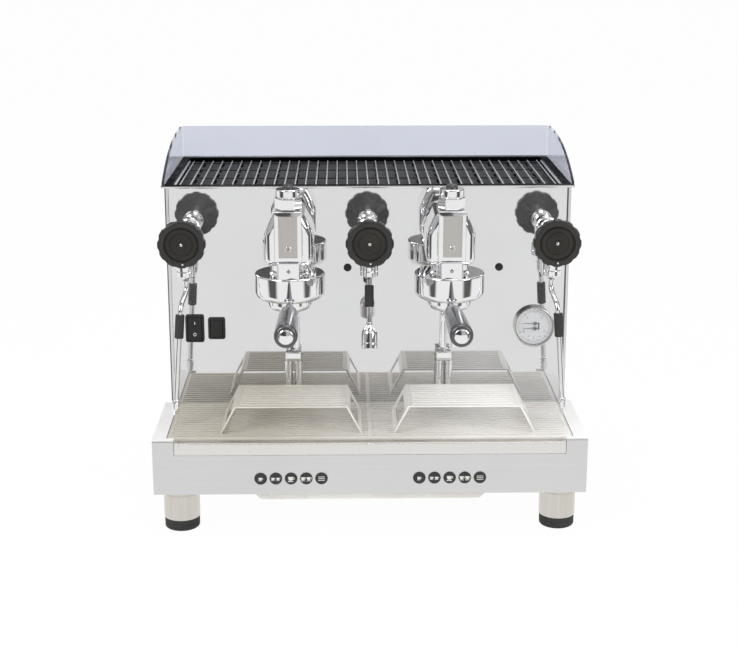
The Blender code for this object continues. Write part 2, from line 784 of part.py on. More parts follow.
def cup_guard():
    # A bent sheet, U-shaped from above, cut to the sweeping side outline
    half = BODY_WIDTH / 2 + CUP_OVERHANG - GUARD_INSET
    rear = REAR_Y - GUARD_REAR_INSET
    front = PANEL_Y
    low = TOP_Z + GAP
    outline = [(-half, front)]
    outline += arc((-half + GUARD_BEND, rear - GUARD_BEND), GUARD_BEND, math.pi, math.pi / 2, ARC_STEPS)
    outline += arc((half - GUARD_BEND, rear - GUARD_BEND), GUARD_BEND, math.pi / 2, 0, ARC_STEPS)
    outline.append((half, front))
    inner = half - GUARD_SHEET
    bend = GUARD_BEND - GUARD_SHEET
    depth = rear - GUARD_SHEET
    outline.append((inner, front))
    outline += arc((inner - bend, depth - bend), bend, 0, math.pi / 2, ARC_STEPS)
    outline += arc((-inner + bend, depth - bend), bend, math.pi / 2, math.pi, ARC_STEPS)
    outline.append((-inner, front))
    guard = add("cup_guard", prism(outline, low, low + GUARD_HEIGHT, 2), acrylic(), smooth=False)
    sweep_length = (rear - front) * (1 - GUARD_BEND / (rear - front))
    outline = [(front - CUT, low - CUT), (front - CUT, low + GUARD_SHEET), (front, low + GUARD_SHEET)]
    steps = 3 * ARC_STEPS
    for step in range(1, steps + 1):
        share = step / steps
        rise = 1 - (1 - share) ** GUARD_CURVE_SHARE
        height = GUARD_SHEET + (GUARD_HEIGHT - GUARD_SHEET) * rise
        outline.append((front + sweep_length * share, low + height))
    outline[-1] = (outline[-1][0], low + GUARD_HEIGHT + CUT)
    outline += [(rear + CUT, low + GUARD_HEIGHT + CUT), (rear + CUT, low - CUT)]
    combine(guard, prism(outline, -half - CUT, half + CUT, 0), "INTERSECT", "guard_outline")


def drip_tray():
    # An open pan, and the plate on it that closes the slot in the machine's front face
    half = CHANNEL_X - GAP
    bottom = CHANNEL_Z + GAP
    top = LEDGE_Z - GAP
    back = PANEL_Y - 2 * GAP
    front = FRONT_Y + TRAY_FRONT
    pan = block((-half, front + GAP, bottom), (half, back, top))
    tray = add("drip_tray", pan, brushed_steel(), smooth=False)
    low = (-half + TRAY_WALL, front + GAP + TRAY_WALL, bottom + TRAY_WALL)
    combine(tray, block(low, (half - TRAY_WALL, back - TRAY_WALL, RIM_Z + CUT)), "DIFFERENCE", "tray_space")
    plate = block((-half, FRONT_Y, bottom), (half, front, RIM_Z - TRAY_LIP_DROP))
    add("drip_tray_front", plate, brushed_steel(), smooth=False)


def drip_grid():
    front = FRONT_Y + FRONT_EDGE + GRID_FRONT_SLOT
    back = PANEL_Y - 2 * GAP
    half = RECESS_X - GAP
    bars = SLAT_SHARE
    rows = stripes(front, back, GRID_BORDER, SLAT_PITCH, bars)
    bay = (2 * half - (GRID_BAYS + 1) * GRID_BORDER) / GRID_BAYS
    columns = [-half]
    for index in range(GRID_BAYS):
        start = -half + GRID_BORDER + index * (bay + GRID_BORDER)
        columns += [start, start + bay]
    columns.append(half)
    plate = lattice(columns, rows, GRID_Z - GRID_THICK, GRID_Z, lambda i, j: i % 2 == 1 and j % 2 == 1)
    add("drip_grid", plate, brushed_steel(), smooth=False)


def cup_riser(side, x):
    # A folded sheet bench: slotted shelf, splayed sides with a window in each
    low = GRID_Z + GAP
    top = low + RISER_HEIGHT
    shelf = RISER_SHELF / 2
    foot = RISER_FOOT / 2
    rear = PANEL_Y - RISER_SETBACK
    front = rear - RISER_DEPTH
    skin = RISER_SHEET
    inner_top = top - skin
    outline = [
        (x - foot, low), (x - shelf, top), (x + shelf, top), (x + foot, low),
        (x + foot - skin, low), (x + shelf - skin, inner_top),
        (x - shelf + skin, inner_top), (x - foot + skin, low),
    ]
    riser = add("cup_riser_" + side, prism(outline, front, rear, 1), brushed_steel(), smooth=False)
    window = block(
        (x - foot - CUT, front + RISER_BORDER, low + RISER_BORDER),
        (x + foot + CUT, rear - RISER_BORDER, inner_top - RISER_BORDER),
    )
    cuts = [window]
    rows = stripes(front, rear, RISER_BORDER, SLAT_PITCH, SLAT_SHARE)
    for start, end in list(zip(rows, rows[1:]))[1:-1:2]:
        cuts.append(block(
            (x - shelf + RISER_BORDER, start, inner_top - skin),
            (x + shelf - RISER_BORDER, end, top + CUT),
        ))
    combine(riser, merge(cuts), "DIFFERENCE", "riser_cuts_" + side)


def button_places():
    # Five buttons under each group
    places = []
    for centre in GROUP_XS:
        places += [centre + step * BUTTON_PITCH for step in (-2, -1, 0, 1, 2)]
    return places


def buttons():
    # The flange behind the front wall keeps each button captive
    back = SHEET + GAP
    profile = [
        (0, BUTTON_PROUD), (BUTTON_RADIUS - BUTTON_EDGE, BUTTON_PROUD),
        (BUTTON_RADIUS, BUTTON_PROUD - BUTTON_EDGE),
        (BUTTON_RADIUS, -back), (BUTTON_RADIUS + BUTTON_FLANGE, -back),
        (BUTTON_RADIUS + BUTTON_FLANGE, -back - BUTTON_FLANGE_THICK), (0, -back - BUTTON_FLANGE_THICK),
    ]
    first = None
    for index, x in enumerate(button_places()):
        side = SIDES[index // 5]
        name = "button_" + side + "_" + str(index % 5 + 1)
        at = (x, FRONT_Y, BUTTON_Z)
        if first is None:
            first = add(name, lay_forward(turned(profile, BUTTON_SIDES)), black_plastic(), at)
        else:
            add_copy(name, first, at)


def switch_sizes():
    return (
        (MAIN_SWITCH_X, MAIN_SWITCH_WIDTH, MAIN_SWITCH_HEIGHT),
        (SIDE_SWITCH_X, SIDE_SWITCH_WIDTH, SIDE_SWITCH_HEIGHT),
    )


def switches():
    for name, (x, width, height) in zip(("main_switch", "side_switch"), switch_sizes()):
        face = PANEL_Y - SWITCH_PROUD
        low = (x - width / 2, face, SWITCH_Z - height / 2)
        high = (x + width / 2, PANEL_Y - GAP, SWITCH_Z + height / 2)
        plate = bevel(block(low, high), SWITCH_CORNER, 2, axis=1)
        housing = add(name + "_housing", plate, black_plastic(), smooth=False)
        half = width / 2 - SWITCH_BODY_INSET
        rise = height / 2 - SWITCH_BODY_INSET
        body = block(
            (x - half, face + SWITCH_PROUD / 2, SWITCH_Z - rise),
            (x + half, PANEL_Y + SWITCH_DEPTH, SWITCH_Z + rise),
        )
        combine(housing, body, "UNION", name + "_body")
        wide = width / 2 - SWITCH_RIM
        tall = height / 2 - SWITCH_RIM
        pocket_low = (x - wide, face - CUT, SWITCH_Z - tall)
        pocket = block(pocket_low, (x + wide, face + SWITCH_POCKET, SWITCH_Z + tall))
        combine(housing, pocket, "DIFFERENCE", name + "_pocket")
        # The rocker's origin is its pivot; at rest its top edge is pressed in
        reach = tall - ROCKER_PLAY
        back = ROCKER_BACK_SHARE * reach
        outline = [
            (-ROCKER_PROUD - ROCKER_DISH, reach), (-ROCKER_PROUD, 0), (-ROCKER_PROUD - ROCKER_DISH, -reach),
            (0, -reach), (ROCKER_BACK, -back), (ROCKER_BACK, back), (0, reach),
        ]
        rocker = prism(outline, -wide + ROCKER_PLAY, wide - ROCKER_PLAY, 0)
        bmesh.ops.rotate(
            rocker, cent=(0, 0, 0), matrix=Matrix.Rotation(-ROCKER_TILT, 3, "X"), verts=rocker.verts,
        )
        add(name + "_rocker", rocker, black_plastic(), (x, face + ROCKER_PROUD, SWITCH_Z), smooth=False)


def gauge():
    # Case with the dial in its floor and a rebate for the glass, and two needles on their own pins
    face = GAUGE_PROUD
    dial = face - GAUGE_DIAL_DEPTH
    window = GAUGE_RADIUS - GAUGE_BEZEL
    rebate = face - GAUGE_GLASS_DEPTH - GAUGE_GLASS - GAP
    profile = [
        (0, dial), (window - GAUGE_BEZEL / 2, dial), (window - GAUGE_BEZEL / 2, rebate), (window, rebate),
        (window, face),
        (GAUGE_RADIUS - GAUGE_BEZEL / 3, face), (GAUGE_RADIUS, face - GAUGE_BEZEL / 3), (GAUGE_RADIUS, GAP),
        (GAUGE_BODY, GAP), (GAUGE_BODY, -GAUGE_DEPTH), (0, -GAUGE_DEPTH),
    ]
    at = (GAUGE_X, PANEL_Y, GAUGE_Z)
    case = add("gauge_case", lay_forward(turned(profile, FINE)), white_dial(), at)
    pins = []
    hub_x = NEEDLE_OFFSET
    for rise in (NEEDLE_UPPER_RISE, -NEEDLE_LOWER_DROP):
        pin = rod(NEEDLE_PIN, dial - SHEET, dial + NEEDLE_PIN_LENGTH, SMALL)
        pins.append(lay_forward(pin, (hub_x, 0, rise)))
    combine(case, merge(pins), "UNION", "needle_pins")
    # The lower needle turns in a plane in front of the upper one
    for layer, (name, rise) in enumerate((("upper", NEEDLE_UPPER_RISE), ("lower", -NEEDLE_LOWER_DROP))):
        low = dial + GAP + layer * (NEEDLE_THICK + GAP)
        high = low + NEEDLE_THICK
        bore = NEEDLE_PIN + GAP
        hub = turned([(bore, low), (NEEDLE_HUB, low), (NEEDLE_HUB, high), (bore, high)], SMALL, closed=True)
        seat = (GAUGE_X + hub_x, PANEL_Y, GAUGE_Z + rise)
        needle = add("gauge_needle_" + name, lay_forward(hub), black_plastic(), seat)
        inner = NEEDLE_HUB - (NEEDLE_HUB - bore) / 2
        blade = [
            (-NEEDLE_LENGTH, -NEEDLE_WIDTH / 4), (-inner, -NEEDLE_WIDTH / 2),
            (-inner, NEEDLE_WIDTH / 2), (-NEEDLE_LENGTH, NEEDLE_WIDTH / 4),
        ]
        tail = [
            (inner, -NEEDLE_WIDTH), (NEEDLE_TAIL, -NEEDLE_WIDTH),
            (NEEDLE_TAIL, NEEDLE_WIDTH), (inner, NEEDLE_WIDTH),
        ]
        inset = NEEDLE_THICK / 8
        parts = [prism(piece, -high + inset, -low - inset, 1) for piece in (blade, tail)]
        combine(needle, merge(parts), "UNION", "blade_" + name)


def group_body(side, x):
    # Bell with a bayonet lip, gasket and shower screen, then throat, shouldered casting, front column
    # and the neck to the panel
    at = (x, GROUP_Y, BELL_Z)
    round_centre = (BELL_RADIUS - BELL_ROUND, BELL_ROUND)
    screen = BORE_DEPTH - SCREEN_DROP
    gasket = BORE_DEPTH - GASKET_DROP
    profile = [(0, screen), (GASKET_RADIUS, screen), (GASKET_RADIUS, gasket), (BORE_RADIUS, gasket)]
    profile += [(BORE_RADIUS, LIP_HEIGHT), (LIP_RADIUS, LIP_HEIGHT), (LIP_RADIUS, 0)]
    profile += arc(round_centre, BELL_ROUND, -math.pi / 2, 0, ARC_STEPS)
    profile += arc((BELL_RADIUS - BELL_EDGE, BELL_HEIGHT - BELL_EDGE), BELL_EDGE, 0, math.pi / 2, 2)
    profile.append((0, BELL_HEIGHT))
    group = add("group_body_" + side, turned(profile, FINE), chrome(), at)
    slot = block(
        (-BORE_RADIUS, -EAR_HALF_WIDTH - EAR_PLAY, -CUT),
        (BORE_RADIUS, EAR_HALF_WIDTH + EAR_PLAY, LIP_HEIGHT + EAR_PLAY / 2),
    )
    bmesh.ops.rotate(slot, cent=(0, 0, 0), matrix=Matrix.Rotation(-UNLOCK_ANGLE, 3, "Z"), verts=slot.verts)
    combine(group, slot, "DIFFERENCE", "bayonet_slots_" + side)
    throat = rod(THROAT_RADIUS, BELL_HEIGHT - BELL_EDGE, CASTING_BASE + CASTING_BEVEL, MEDIUM)
    outline = [
        (-CASTING_HALF_WIDTH, CASTING_BASE), (CASTING_HALF_WIDTH, CASTING_BASE),
        (CASTING_HALF_WIDTH, CASTING_SHOULDER), (CASTING_TOP_HALF_WIDTH, CASTING_TOP),
        (-CASTING_TOP_HALF_WIDTH, CASTING_TOP), (-CASTING_HALF_WIDTH, CASTING_SHOULDER),
    ]
    casting = bevel(prism(outline, -CASTING_FRONT, CASTING_BACK, 1), CASTING_BEVEL, 1)
    combine(group, throat, "UNION", "throat_" + side)
    combine(group, casting, "UNION", "casting_" + side)
    column = block(
        (-COLUMN_HALF_WIDTH, -COLUMN_FRONT, BOSS_HEIGHT - COLUMN_BEVEL),
        (COLUMN_HALF_WIDTH, -COLUMN_BACK, COLUMN_TOP),
    )
    boss = block(
        (-BOSS_HALF_WIDTH, -BOSS_FRONT, BELL_HEIGHT - BELL_EDGE),
        (BOSS_HALF_WIDTH, -COLUMN_BACK, BOSS_HEIGHT),
    )
    combine(group, bevel(boss, COLUMN_BEVEL, 1, axis=2), "UNION", "boss_" + side)
    combine(group, bevel(column, COLUMN_BEVEL, 1, axis=2), "UNION", "column_" + side)
    flange_at = GROUP_REACH - GAP
    neck = [
        (0, -GROUP_REACH - NECK_STUB), (NECK_RADIUS, -GROUP_REACH - NECK_STUB), (NECK_RADIUS, -flange_at),
        (NECK_FLANGE_RADIUS, -flange_at), (NECK_FLANGE_RADIUS, -flange_at + NECK_FLANGE),
        (NECK_RADIUS, -flange_at + NECK_FLANGE), (NECK_RADIUS, CASTING_BEVEL - CASTING_BACK),
        (0, CASTING_BEVEL - CASTING_BACK),
    ]
    combine(group, lay_forward(turned(neck, MEDIUM), (0, 0, NECK_RISE)), "UNION", "neck_" + side)
    low = COLUMN_TOP + CAP_SEAT
    middle = low + HEX_HEIGHT
    high = middle + CAP_HEIGHT
    cap = turned([
        (0, COLUMN_TOP - CAP_SEAT), (CAP_SEAT_RADIUS, COLUMN_TOP - CAP_SEAT), (CAP_SEAT_RADIUS, low),
        (HEX_RADIUS, low), (HEX_RADIUS, middle - CAP_CHAMFER), (CAP_RADIUS, middle),
        (CAP_RADIUS, high - CAP_CHAMFER), (CAP_RADIUS - CAP_CHAMFER, high), (CAP_NUT_RADIUS, high),
        (CAP_NUT_RADIUS, high + CAP_NUT_HEIGHT), (0, high + CAP_NUT_HEIGHT),
    ], 6)
    centre = -(COLUMN_FRONT + COLUMN_BACK) / 2
    combine(group, shift(cap, (0, centre, 0)), "UNION", "cap_" + side)


def group_cover(side, x):
    # Plate over the column with a bevelled front border
    face = GROUP_Y - COLUMN_FRONT - GAP
    cover = block(
        (x - COVER_HALF_WIDTH, face - COVER_THICK, BELL_Z + BOSS_HEIGHT + GAP),
        (x + COVER_HALF_WIDTH, face, BELL_Z + COLUMN_TOP),
    )
    edges = [
        edge for edge in cover.edges
        if all(abs(point.co.y - face + COVER_THICK) < GAP for point in edge.verts)
    ]
    bmesh.ops.bevel(cover, geom=edges, offset=COVER_BEVEL, segments=2, profile=0.5, affect="EDGES")
    add("group_cover_" + side, cover, satin_nickel(), smooth=False)


def portafilter(side, x, turn):
    # Bowl with two bayonet ears, arm with its stud, and a double spout
    at = (x, GROUP_Y, BELL_Z)
    rim = min(BOWL_RIM, BORE_DEPTH - GASKET_DROP - 2 * GAP)
    cup = BOWL_RADIUS - BOWL_WALL
    profile = [
        (0, -BOWL_FLOOR), (cup - BOWL_WALL, -BOWL_FLOOR), (cup, -BOWL_FLOOR + BOWL_WALL), (cup, rim),
        (BOWL_RADIUS, rim), (BOWL_RADIUS, -BOWL_FLOOR / 2), (BOWL_RADIUS - BOWL_WALL, -BOWL_DROP),
        (BOWL_FOOT_RADIUS, -BOWL_FOOT), (BOWL_FOOT_RADIUS, -BOWL_FOOT - BOWL_WALL),
        (0, -BOWL_FOOT - BOWL_WALL),
    ]
    item = add("portafilter_" + side, turned(profile, FINE), chrome(), at, turn=turn)
    ear_low = LIP_HEIGHT + EAR_PLAY
    ear_reach = math.sqrt((BORE_RADIUS * math.cos(math.pi / FINE) - EAR_PLAY) ** 2 - EAR_HALF_WIDTH ** 2)
    ear_root = BOWL_RADIUS - BOWL_WALL / 2
    ears = [
        block((-ear_reach, -EAR_HALF_WIDTH, ear_low), (-ear_root, EAR_HALF_WIDTH, ear_low + EAR_HEIGHT)),
        block((ear_root, -EAR_HALF_WIDTH, ear_low), (ear_reach, EAR_HALF_WIDTH, ear_low + EAR_HEIGHT)),
    ]
    combine(item, merge(ears), "UNION", "ears_" + side)
    arm = turned([
        (0, ARM_ROOT), (ARM_RADIUS, ARM_ROOT), (ARM_RADIUS, ARM_LENGTH), (STUD_RADIUS, ARM_LENGTH),
        (STUD_RADIUS, ARM_LENGTH + STUD_LENGTH), (0, ARM_LENGTH + STUD_LENGTH),
    ], COARSE)
    combine(item, lay_forward(arm, (0, 0, -ARM_DROP)), "UNION", "arm_" + side)
    crown = -BOWL_FOOT - BOWL_WALL / 2
    yoke = bevel(block(
        (-SPOUT_HALF_SPAN - SPOUT_RADIUS, -SPOUT_BLOCK_HALF_DEPTH, crown - SPOUT_BLOCK),
        (SPOUT_HALF_SPAN + SPOUT_RADIUS, SPOUT_BLOCK_HALF_DEPTH, crown),
    ), SPOUT_RADIUS / 2, 1)
    combine(item, yoke, "UNION", "yoke_" + side)
    tubes = []
    bores = []
    for sign in (-1, 1):
        place = (sign * SPOUT_HALF_SPAN, 0, 0)
        tubes.append(shift(rod(SPOUT_RADIUS, -SPOUT_DROP, crown - SPOUT_BLOCK / 2, SMALL), place))
        bores.append(shift(rod(SPOUT_BORE, -SPOUT_DROP - CUT, -SPOUT_DROP + SPOUT_BORE_DEPTH, SMALL), place))
    bores.append(rod(BOWL_DRAIN, -BOWL_FOOT, -BOWL_FLOOR + CUT / 2, SMALL))
    combine(item, merge(tubes), "UNION", "spouts_" + side)
    combine(item, merge(bores), "DIFFERENCE", "spout_bores_" + side)


def handle(side, x, turn):
    start = ARM_LENGTH + GAP
    end = start + HANDLE_LENGTH
    depth = start + STUD_LENGTH + GAP
    bore = STUD_RADIUS + GAP
    waist = start + HANDLE_LENGTH / 3
    profile = [
        (0, depth), (bore, depth), (bore, start), (HANDLE_ROOT_RADIUS, start),
        (HANDLE_ROOT_RADIUS, start + HANDLE_COLLAR), (HANDLE_WAIST_RADIUS, waist),
        (HANDLE_END_RADIUS, end - 2 * HANDLE_RIM_ROUND),
    ]
    profile += arc(
        (HANDLE_END_RADIUS - HANDLE_RIM_ROUND, end - HANDLE_RIM_ROUND), HANDLE_RIM_ROUND, 0, math.pi / 2, 3,
    )
    profile += [(HANDLE_DISC_RADIUS, end), (HANDLE_DISC_RADIUS / 2, end + HANDLE_DOME * 3 / 4)]
    profile.append((0, end + HANDLE_DOME))
    shape = lay_forward(turned(profile, MEDIUM), (0, 0, -ARM_DROP))
    add("handle_" + side, shape, dark_handle(), (x, GROUP_Y, BELL_Z), turn=turn)


def tap_body(side, x):
    # Flange, neck, body, bonnet and spindle on one axis, and the branch with its ball socket
    front = TAP_REACH + TAP_BODY_HALF
    bonnet = front + TAP_BONNET
    profile = [
        (0, -TAP_STUB), (TAP_STUB_RADIUS, -TAP_STUB), (TAP_STUB_RADIUS, GAP), (TAP_FLANGE_RADIUS, GAP),
        (TAP_FLANGE_RADIUS, TAP_FLANGE), (TAP_NECK_RADIUS, TAP_FLANGE + TAP_FLANGE / 3),
        (TAP_NECK_RADIUS, TAP_REACH - TAP_BODY_HALF - TAP_FLANGE / 2),
        (TAP_BODY_RADIUS, TAP_REACH - TAP_BODY_HALF),
        (TAP_BODY_RADIUS, front), (TAP_BONNET_RADIUS, front + TAP_FLANGE / 3), (TAP_BONNET_RADIUS, bonnet),
        (SPINDLE_RADIUS, bonnet), (SPINDLE_RADIUS, bonnet + SPINDLE_LENGTH), (0, bonnet + SPINDLE_LENGTH),
    ]
    tap = add("tap_body_" + side, lay_forward(turned(profile, MEDIUM)), chrome(), (x, PANEL_Y, TAP_Z))
    cup = BALL_RADIUS + GAP
    socket = [(0, 0), (BRANCH_RADIUS, 0), (BRANCH_RADIUS, -BALL_DROP + SOCKET_TOP)]
    socket += [(SOCKET_RADIUS, -BALL_DROP + SOCKET_TOP - (SOCKET_RADIUS - BRANCH_RADIUS))]
    socket.append((SOCKET_RADIUS, -BALL_DROP - cup * math.cos(SOCKET_OPENING)))
    steps = 2 * ARC_STEPS
    for step in range(steps + 1):
        angle = SOCKET_OPENING + (math.pi - SOCKET_OPENING) * step / steps
        socket.append((cup * math.sin(angle) if step < steps else 0, -BALL_DROP - cup * math.cos(angle)))
    combine(tap, shift(turned(socket, MEDIUM), (0, -TAP_REACH, 0)), "UNION", "branch_" + side)


def wheels():
    # Scalloped handwheel: grooved face, cupped back and a bored hub
    groove = WHEEL_DISC_RADIUS + WHEEL_GROOVE
    bore = SPINDLE_RADIUS + GAP
    rim_inner = WHEEL_RADIUS - WHEEL_RIM_ROUND
    profile = [
        (0, 0), (WHEEL_DISC_RADIUS, 0), (WHEEL_DISC_RADIUS, -WHEEL_GROOVE_DEPTH),
        (groove, -WHEEL_GROOVE_DEPTH),
        (groove, GAP), (rim_inner, GAP), (WHEEL_RADIUS, -WHEEL_RIM_ROUND), (WHEEL_RADIUS, -WHEEL_RIM),
        (WHEEL_HUB_RADIUS, -WHEEL_THICK + WHEEL_RIM_ROUND), (WHEEL_HUB_RADIUS, -WHEEL_THICK),
        (bore, -WHEEL_THICK), (bore, -WHEEL_THICK + WHEEL_BORE_DEPTH),
        (0, -WHEEL_THICK + WHEEL_BORE_DEPTH),
    ]
    shape = turned(profile, 2 * WHEEL_LOBES)
    for point in shape.verts:
        radius = math.hypot(point.co.x, point.co.y)
        if radius > rim_inner - GAP:
            angle = math.atan2(point.co.y, point.co.x)
            scale = 1 - WHEEL_LOBE_SHARE * (1 - math.cos(WHEEL_LOBES * angle)) / 2
            point.co.x *= scale
            point.co.y *= scale
    lay_forward(shape)
    y = PANEL_Y - WHEEL_REACH
    left = add("handwheel_left", shape, black_plastic(), (TAP_XS[0], y, TAP_Z))
    add_copy("handwheel_centre", left, (TAP_XS[1], y, TAP_Z))
    add_copy("handwheel_right", left, (TAP_XS[2], y, TAP_Z))


def balls():
    steps = 2 * ARC_STEPS
    profile = []
    for step in range(steps + 1):
        angle = math.pi * step / steps
        radius = BALL_RADIUS * math.sin(angle) if 0 < step < steps else 0
        profile.append((radius, -BALL_RADIUS * math.cos(angle)))
    left = add("wand_ball_left", turned(profile, COARSE), chrome(), (TAP_XS[0], TAP_Y, BALL_Z))
    add_copy("wand_ball_centre", left, (TAP_XS[1], TAP_Y, BALL_Z))
    add_copy("wand_ball_right", left, (TAP_XS[2], TAP_Y, BALL_Z))


def rounded_path(points, reach, steps):
    # Replaces each inner corner by a smooth bend that starts and ends at a distance from it
    path = [points[0]]
    for before, corner, after in zip(points, points[1:], points[2:]):
        start = corner + (before - corner).normalized() * reach
        end = corner + (after - corner).normalized() * reach
        for step in range(steps + 1):
            t = step / steps
            path.append(start * (1 - t) ** 2 + corner * 2 * t * (1 - t) + end * t ** 2)
    path.append(points[-1])
    return path


def tube(name, path, radius, shares, material, at):
    # A solid bar along a path; shares scale its radius at each point
    curve = bpy.data.curves.new(name, "CURVE")
    curve.dimensions = "3D"
    curve.bevel_depth = radius
    curve.bevel_resolution = 2
    curve.use_fill_caps = True
    spline = curve.splines.new("POLY")
    spline.points.add(len(path) - 1)
    for point, place, share in zip(spline.points, path, shares):
        point.co = (*place, 1)
        point.radius = share
    item = bpy.data.objects.new(name, curve)
    bpy.context.scene.collection.objects.link(item)
    item.location = at
    curve.materials.append(material)
    return item


def steam_wand(side, x):
    # Leaves the ball straight down, bends forward and outward, then runs down to its tip
    sign = 1 if x > 0 else -1
    top = Vector((0, 0, -BALL_RADIUS - GAP))
    first = Vector((0, 0, -WAND_DROP))
    elbow = Vector((sign * WAND_SIDE, -WAND_FORWARD, -WAND_ELBOW))
    end = Vector((sign * WAND_TIP_SIDE, -WAND_TIP_FORWARD, -(BALL_Z - GRID_Z - WAND_TIP_CLEARANCE)))
    path = rounded_path([top, first, elbow, end], WAND_BEND, ARC_STEPS)[:-1]
    shares = [1] * len(path)
    run = (end - elbow).normalized()
    length = (end - elbow).length
    for distance, share in grip_stops(GRIP_START, GRIP_LENGTH) + [
        (length - WAND_TIP - GRIP_ROUND, 1), (length - WAND_TIP, WAND_TIP_SHARE),
        (length - WAND_TIP / 2, WAND_TIP_SHARE), (length, WAND_TIP_END_SHARE),
    ]:
        path.append(elbow + run * distance)
        shares.append(share)
    tube("steam_wand_" + side, path, WAND_RADIUS, shares, chrome(), (x, TAP_Y, BALL_Z))


def grip_stops(start, length):
    # The insulating sleeve's distances along a wand with the radius share at each
    share = GRIP_RADIUS / WAND_RADIUS
    return [
        (start - GRIP_ROUND / 2, 1), (start, share - GRIP_ROUND / WAND_RADIUS), (start + GRIP_ROUND, share),
        (start + length - GRIP_ROUND, share), (start + length, share - GRIP_ROUND / WAND_RADIUS),
        (start + length + GRIP_ROUND / 2, 1),
    ]


def water_wand():
    lean = Vector((0, -math.sin(WATER_LEAN), -math.cos(WATER_LEAN)))
    start = WATER_NOZZLE_START
    step = WATER_NOZZLE_LENGTH / 6
    stops = [(BALL_RADIUS + GAP, 1)] + grip_stops(WATER_GRIP_START, WATER_GRIP_LENGTH) + [
        (start - step, 1), (start - step / 2, WATER_NECK_SHARE), (start, WATER_NECK_SHARE),
        (start + step, WATER_NOZZLE_SHARE * WATER_TAPER_SHARE), (start + 2 * step, WATER_NOZZLE_SHARE),
        (start + WATER_NOZZLE_LENGTH, WATER_NOZZLE_SHARE),
    ]
    path = [lean * stop for stop, share in stops]
    shares = [share for stop, share in stops]
    tube("water_wand", path, WAND_RADIUS, shares, chrome(), (TAP_XS[1], TAP_Y, BALL_Z))


def drain_pipes(side, x):
    # Block on a stub through the panel, with two down-pipes over the tray
    top = RIM_Z + DRAIN_RISE
    low = top - DRAIN_BLOCK_HEIGHT
    y = PANEL_Y - DRAIN_REACH
    body = block(
        (x - DRAIN_BLOCK_HALF_WIDTH, y - DRAIN_BLOCK_HALF_DEPTH, low),
        (x + DRAIN_BLOCK_HALF_WIDTH, y + DRAIN_BLOCK_HALF_DEPTH, top),
    )
    pipes = add("drain_pipes_" + side, bevel(body, DRAIN_BLOCK_HALF_DEPTH / 3, 1), chrome(), smooth=False)
    stub = rod(DRAIN_INLET_RADIUS, -DRAIN_INLET_STUB, DRAIN_REACH, SMALL)
    combine(pipes, lay_forward(stub, (x, PANEL_Y, (low + top) / 2)), "UNION", "drain_stub_" + side)
    tubes = []
    bottom = GRID_Z + DRAIN_CLEARANCE
    for sign in (-1, 1):
        place = (x + sign * DRAIN_TUBE_SPREAD, y, 0)
        tubes.append(shift(rod(DRAIN_TUBE_RADIUS, bottom, low + DRAIN_BLOCK_HEIGHT / 2, SMALL), place))
    combine(pipes, merge(tubes), "UNION", "down_pipes_" + side)


def boiler():
    centre_y = PANEL_Y + BOILER_CENTRE
    centre_z = BASE_Z + BOILER_RISE
    half = BOILER_LENGTH / 2
    profile = [
        (0, -half), (BOILER_RADIUS - BOILER_DOME, -half), (BOILER_RADIUS, BOILER_DOME - half),
        (BOILER_RADIUS, half), (BOILER_FLANGE_RADIUS, half), (BOILER_FLANGE_RADIUS, half + 2 * BOILER_FLANGE),
        (0, half + 2 * BOILER_FLANGE),
    ]
    drum = turned(profile, MEDIUM)
    bmesh.ops.rotate(drum, cent=(0, 0, 0), matrix=Matrix.Rotation(math.pi / 2, 3, "Y"), verts=drum.verts)
    tank = add("boiler", shift(drum, (0, centre_y, centre_z)), copper())
    saddles = []
    for sign in (-1, 1):
        x = sign * SADDLE_SPACING / 2
        saddles.append(block(
            (x - SADDLE_THICK / 2, centre_y - SADDLE_HALF_DEPTH, FLOOR_Z + GAP),
            (x + SADDLE_THICK / 2, centre_y + SADDLE_HALF_DEPTH, centre_z - BOILER_RADIUS / 2),
        ))
    combine(tank, merge(saddles), "UNION", "saddles")
    # The vessel is hollow and opens through the heater port in its flange
    bore = BOILER_RADIUS - BOILER_WALL
    end = half + 2 * BOILER_FLANGE
    hollow = turned([
        (0, BOILER_WALL - half), (bore - BOILER_DOME, BOILER_WALL - half),
        (bore, BOILER_WALL + BOILER_DOME - half), (bore, half), (HEATER_PORT_RADIUS, half),
        (HEATER_PORT_RADIUS, end + CUT), (0, end + CUT),
    ], MEDIUM)
    bmesh.ops.rotate(hollow, cent=(0, 0, 0), matrix=Matrix.Rotation(math.pi / 2, 3, "Y"), verts=hollow.verts)
    combine(tank, shift(hollow, (0, centre_y, centre_z)), "DIFFERENCE", "water_space")


def pump_set():
    y = PANEL_Y + PUMP_DEPTH
    z = FLOOR_Z + PUMP_FOOT_HEIGHT + PUMP_RADIUS
    half = PUMP_LENGTH / 2
    profile = [
        (0, -half), (PUMP_RADIUS, -half), (PUMP_RADIUS, half), (PUMP_HEAD_RADIUS, half),
        (PUMP_HEAD_RADIUS, half + PUMP_HEAD_LENGTH), (0, half + PUMP_HEAD_LENGTH),
    ]
    motor = turned(profile, COARSE)
    bmesh.ops.rotate(motor, cent=(0, 0, 0), matrix=Matrix.Rotation(math.pi / 2, 3, "Y"), verts=motor.verts)
    pump = add("pump_set", shift(motor, (PUMP_X, y, z)), grey_cast())
    foot = block(
        (PUMP_X - half / 2, y - PUMP_FOOT_HALF_WIDTH, FLOOR_Z + GAP),
        (PUMP_X + half / 2, y + PUMP_FOOT_HALF_WIDTH, z),
    )
    combine(pump, foot, "UNION", "pump_foot")


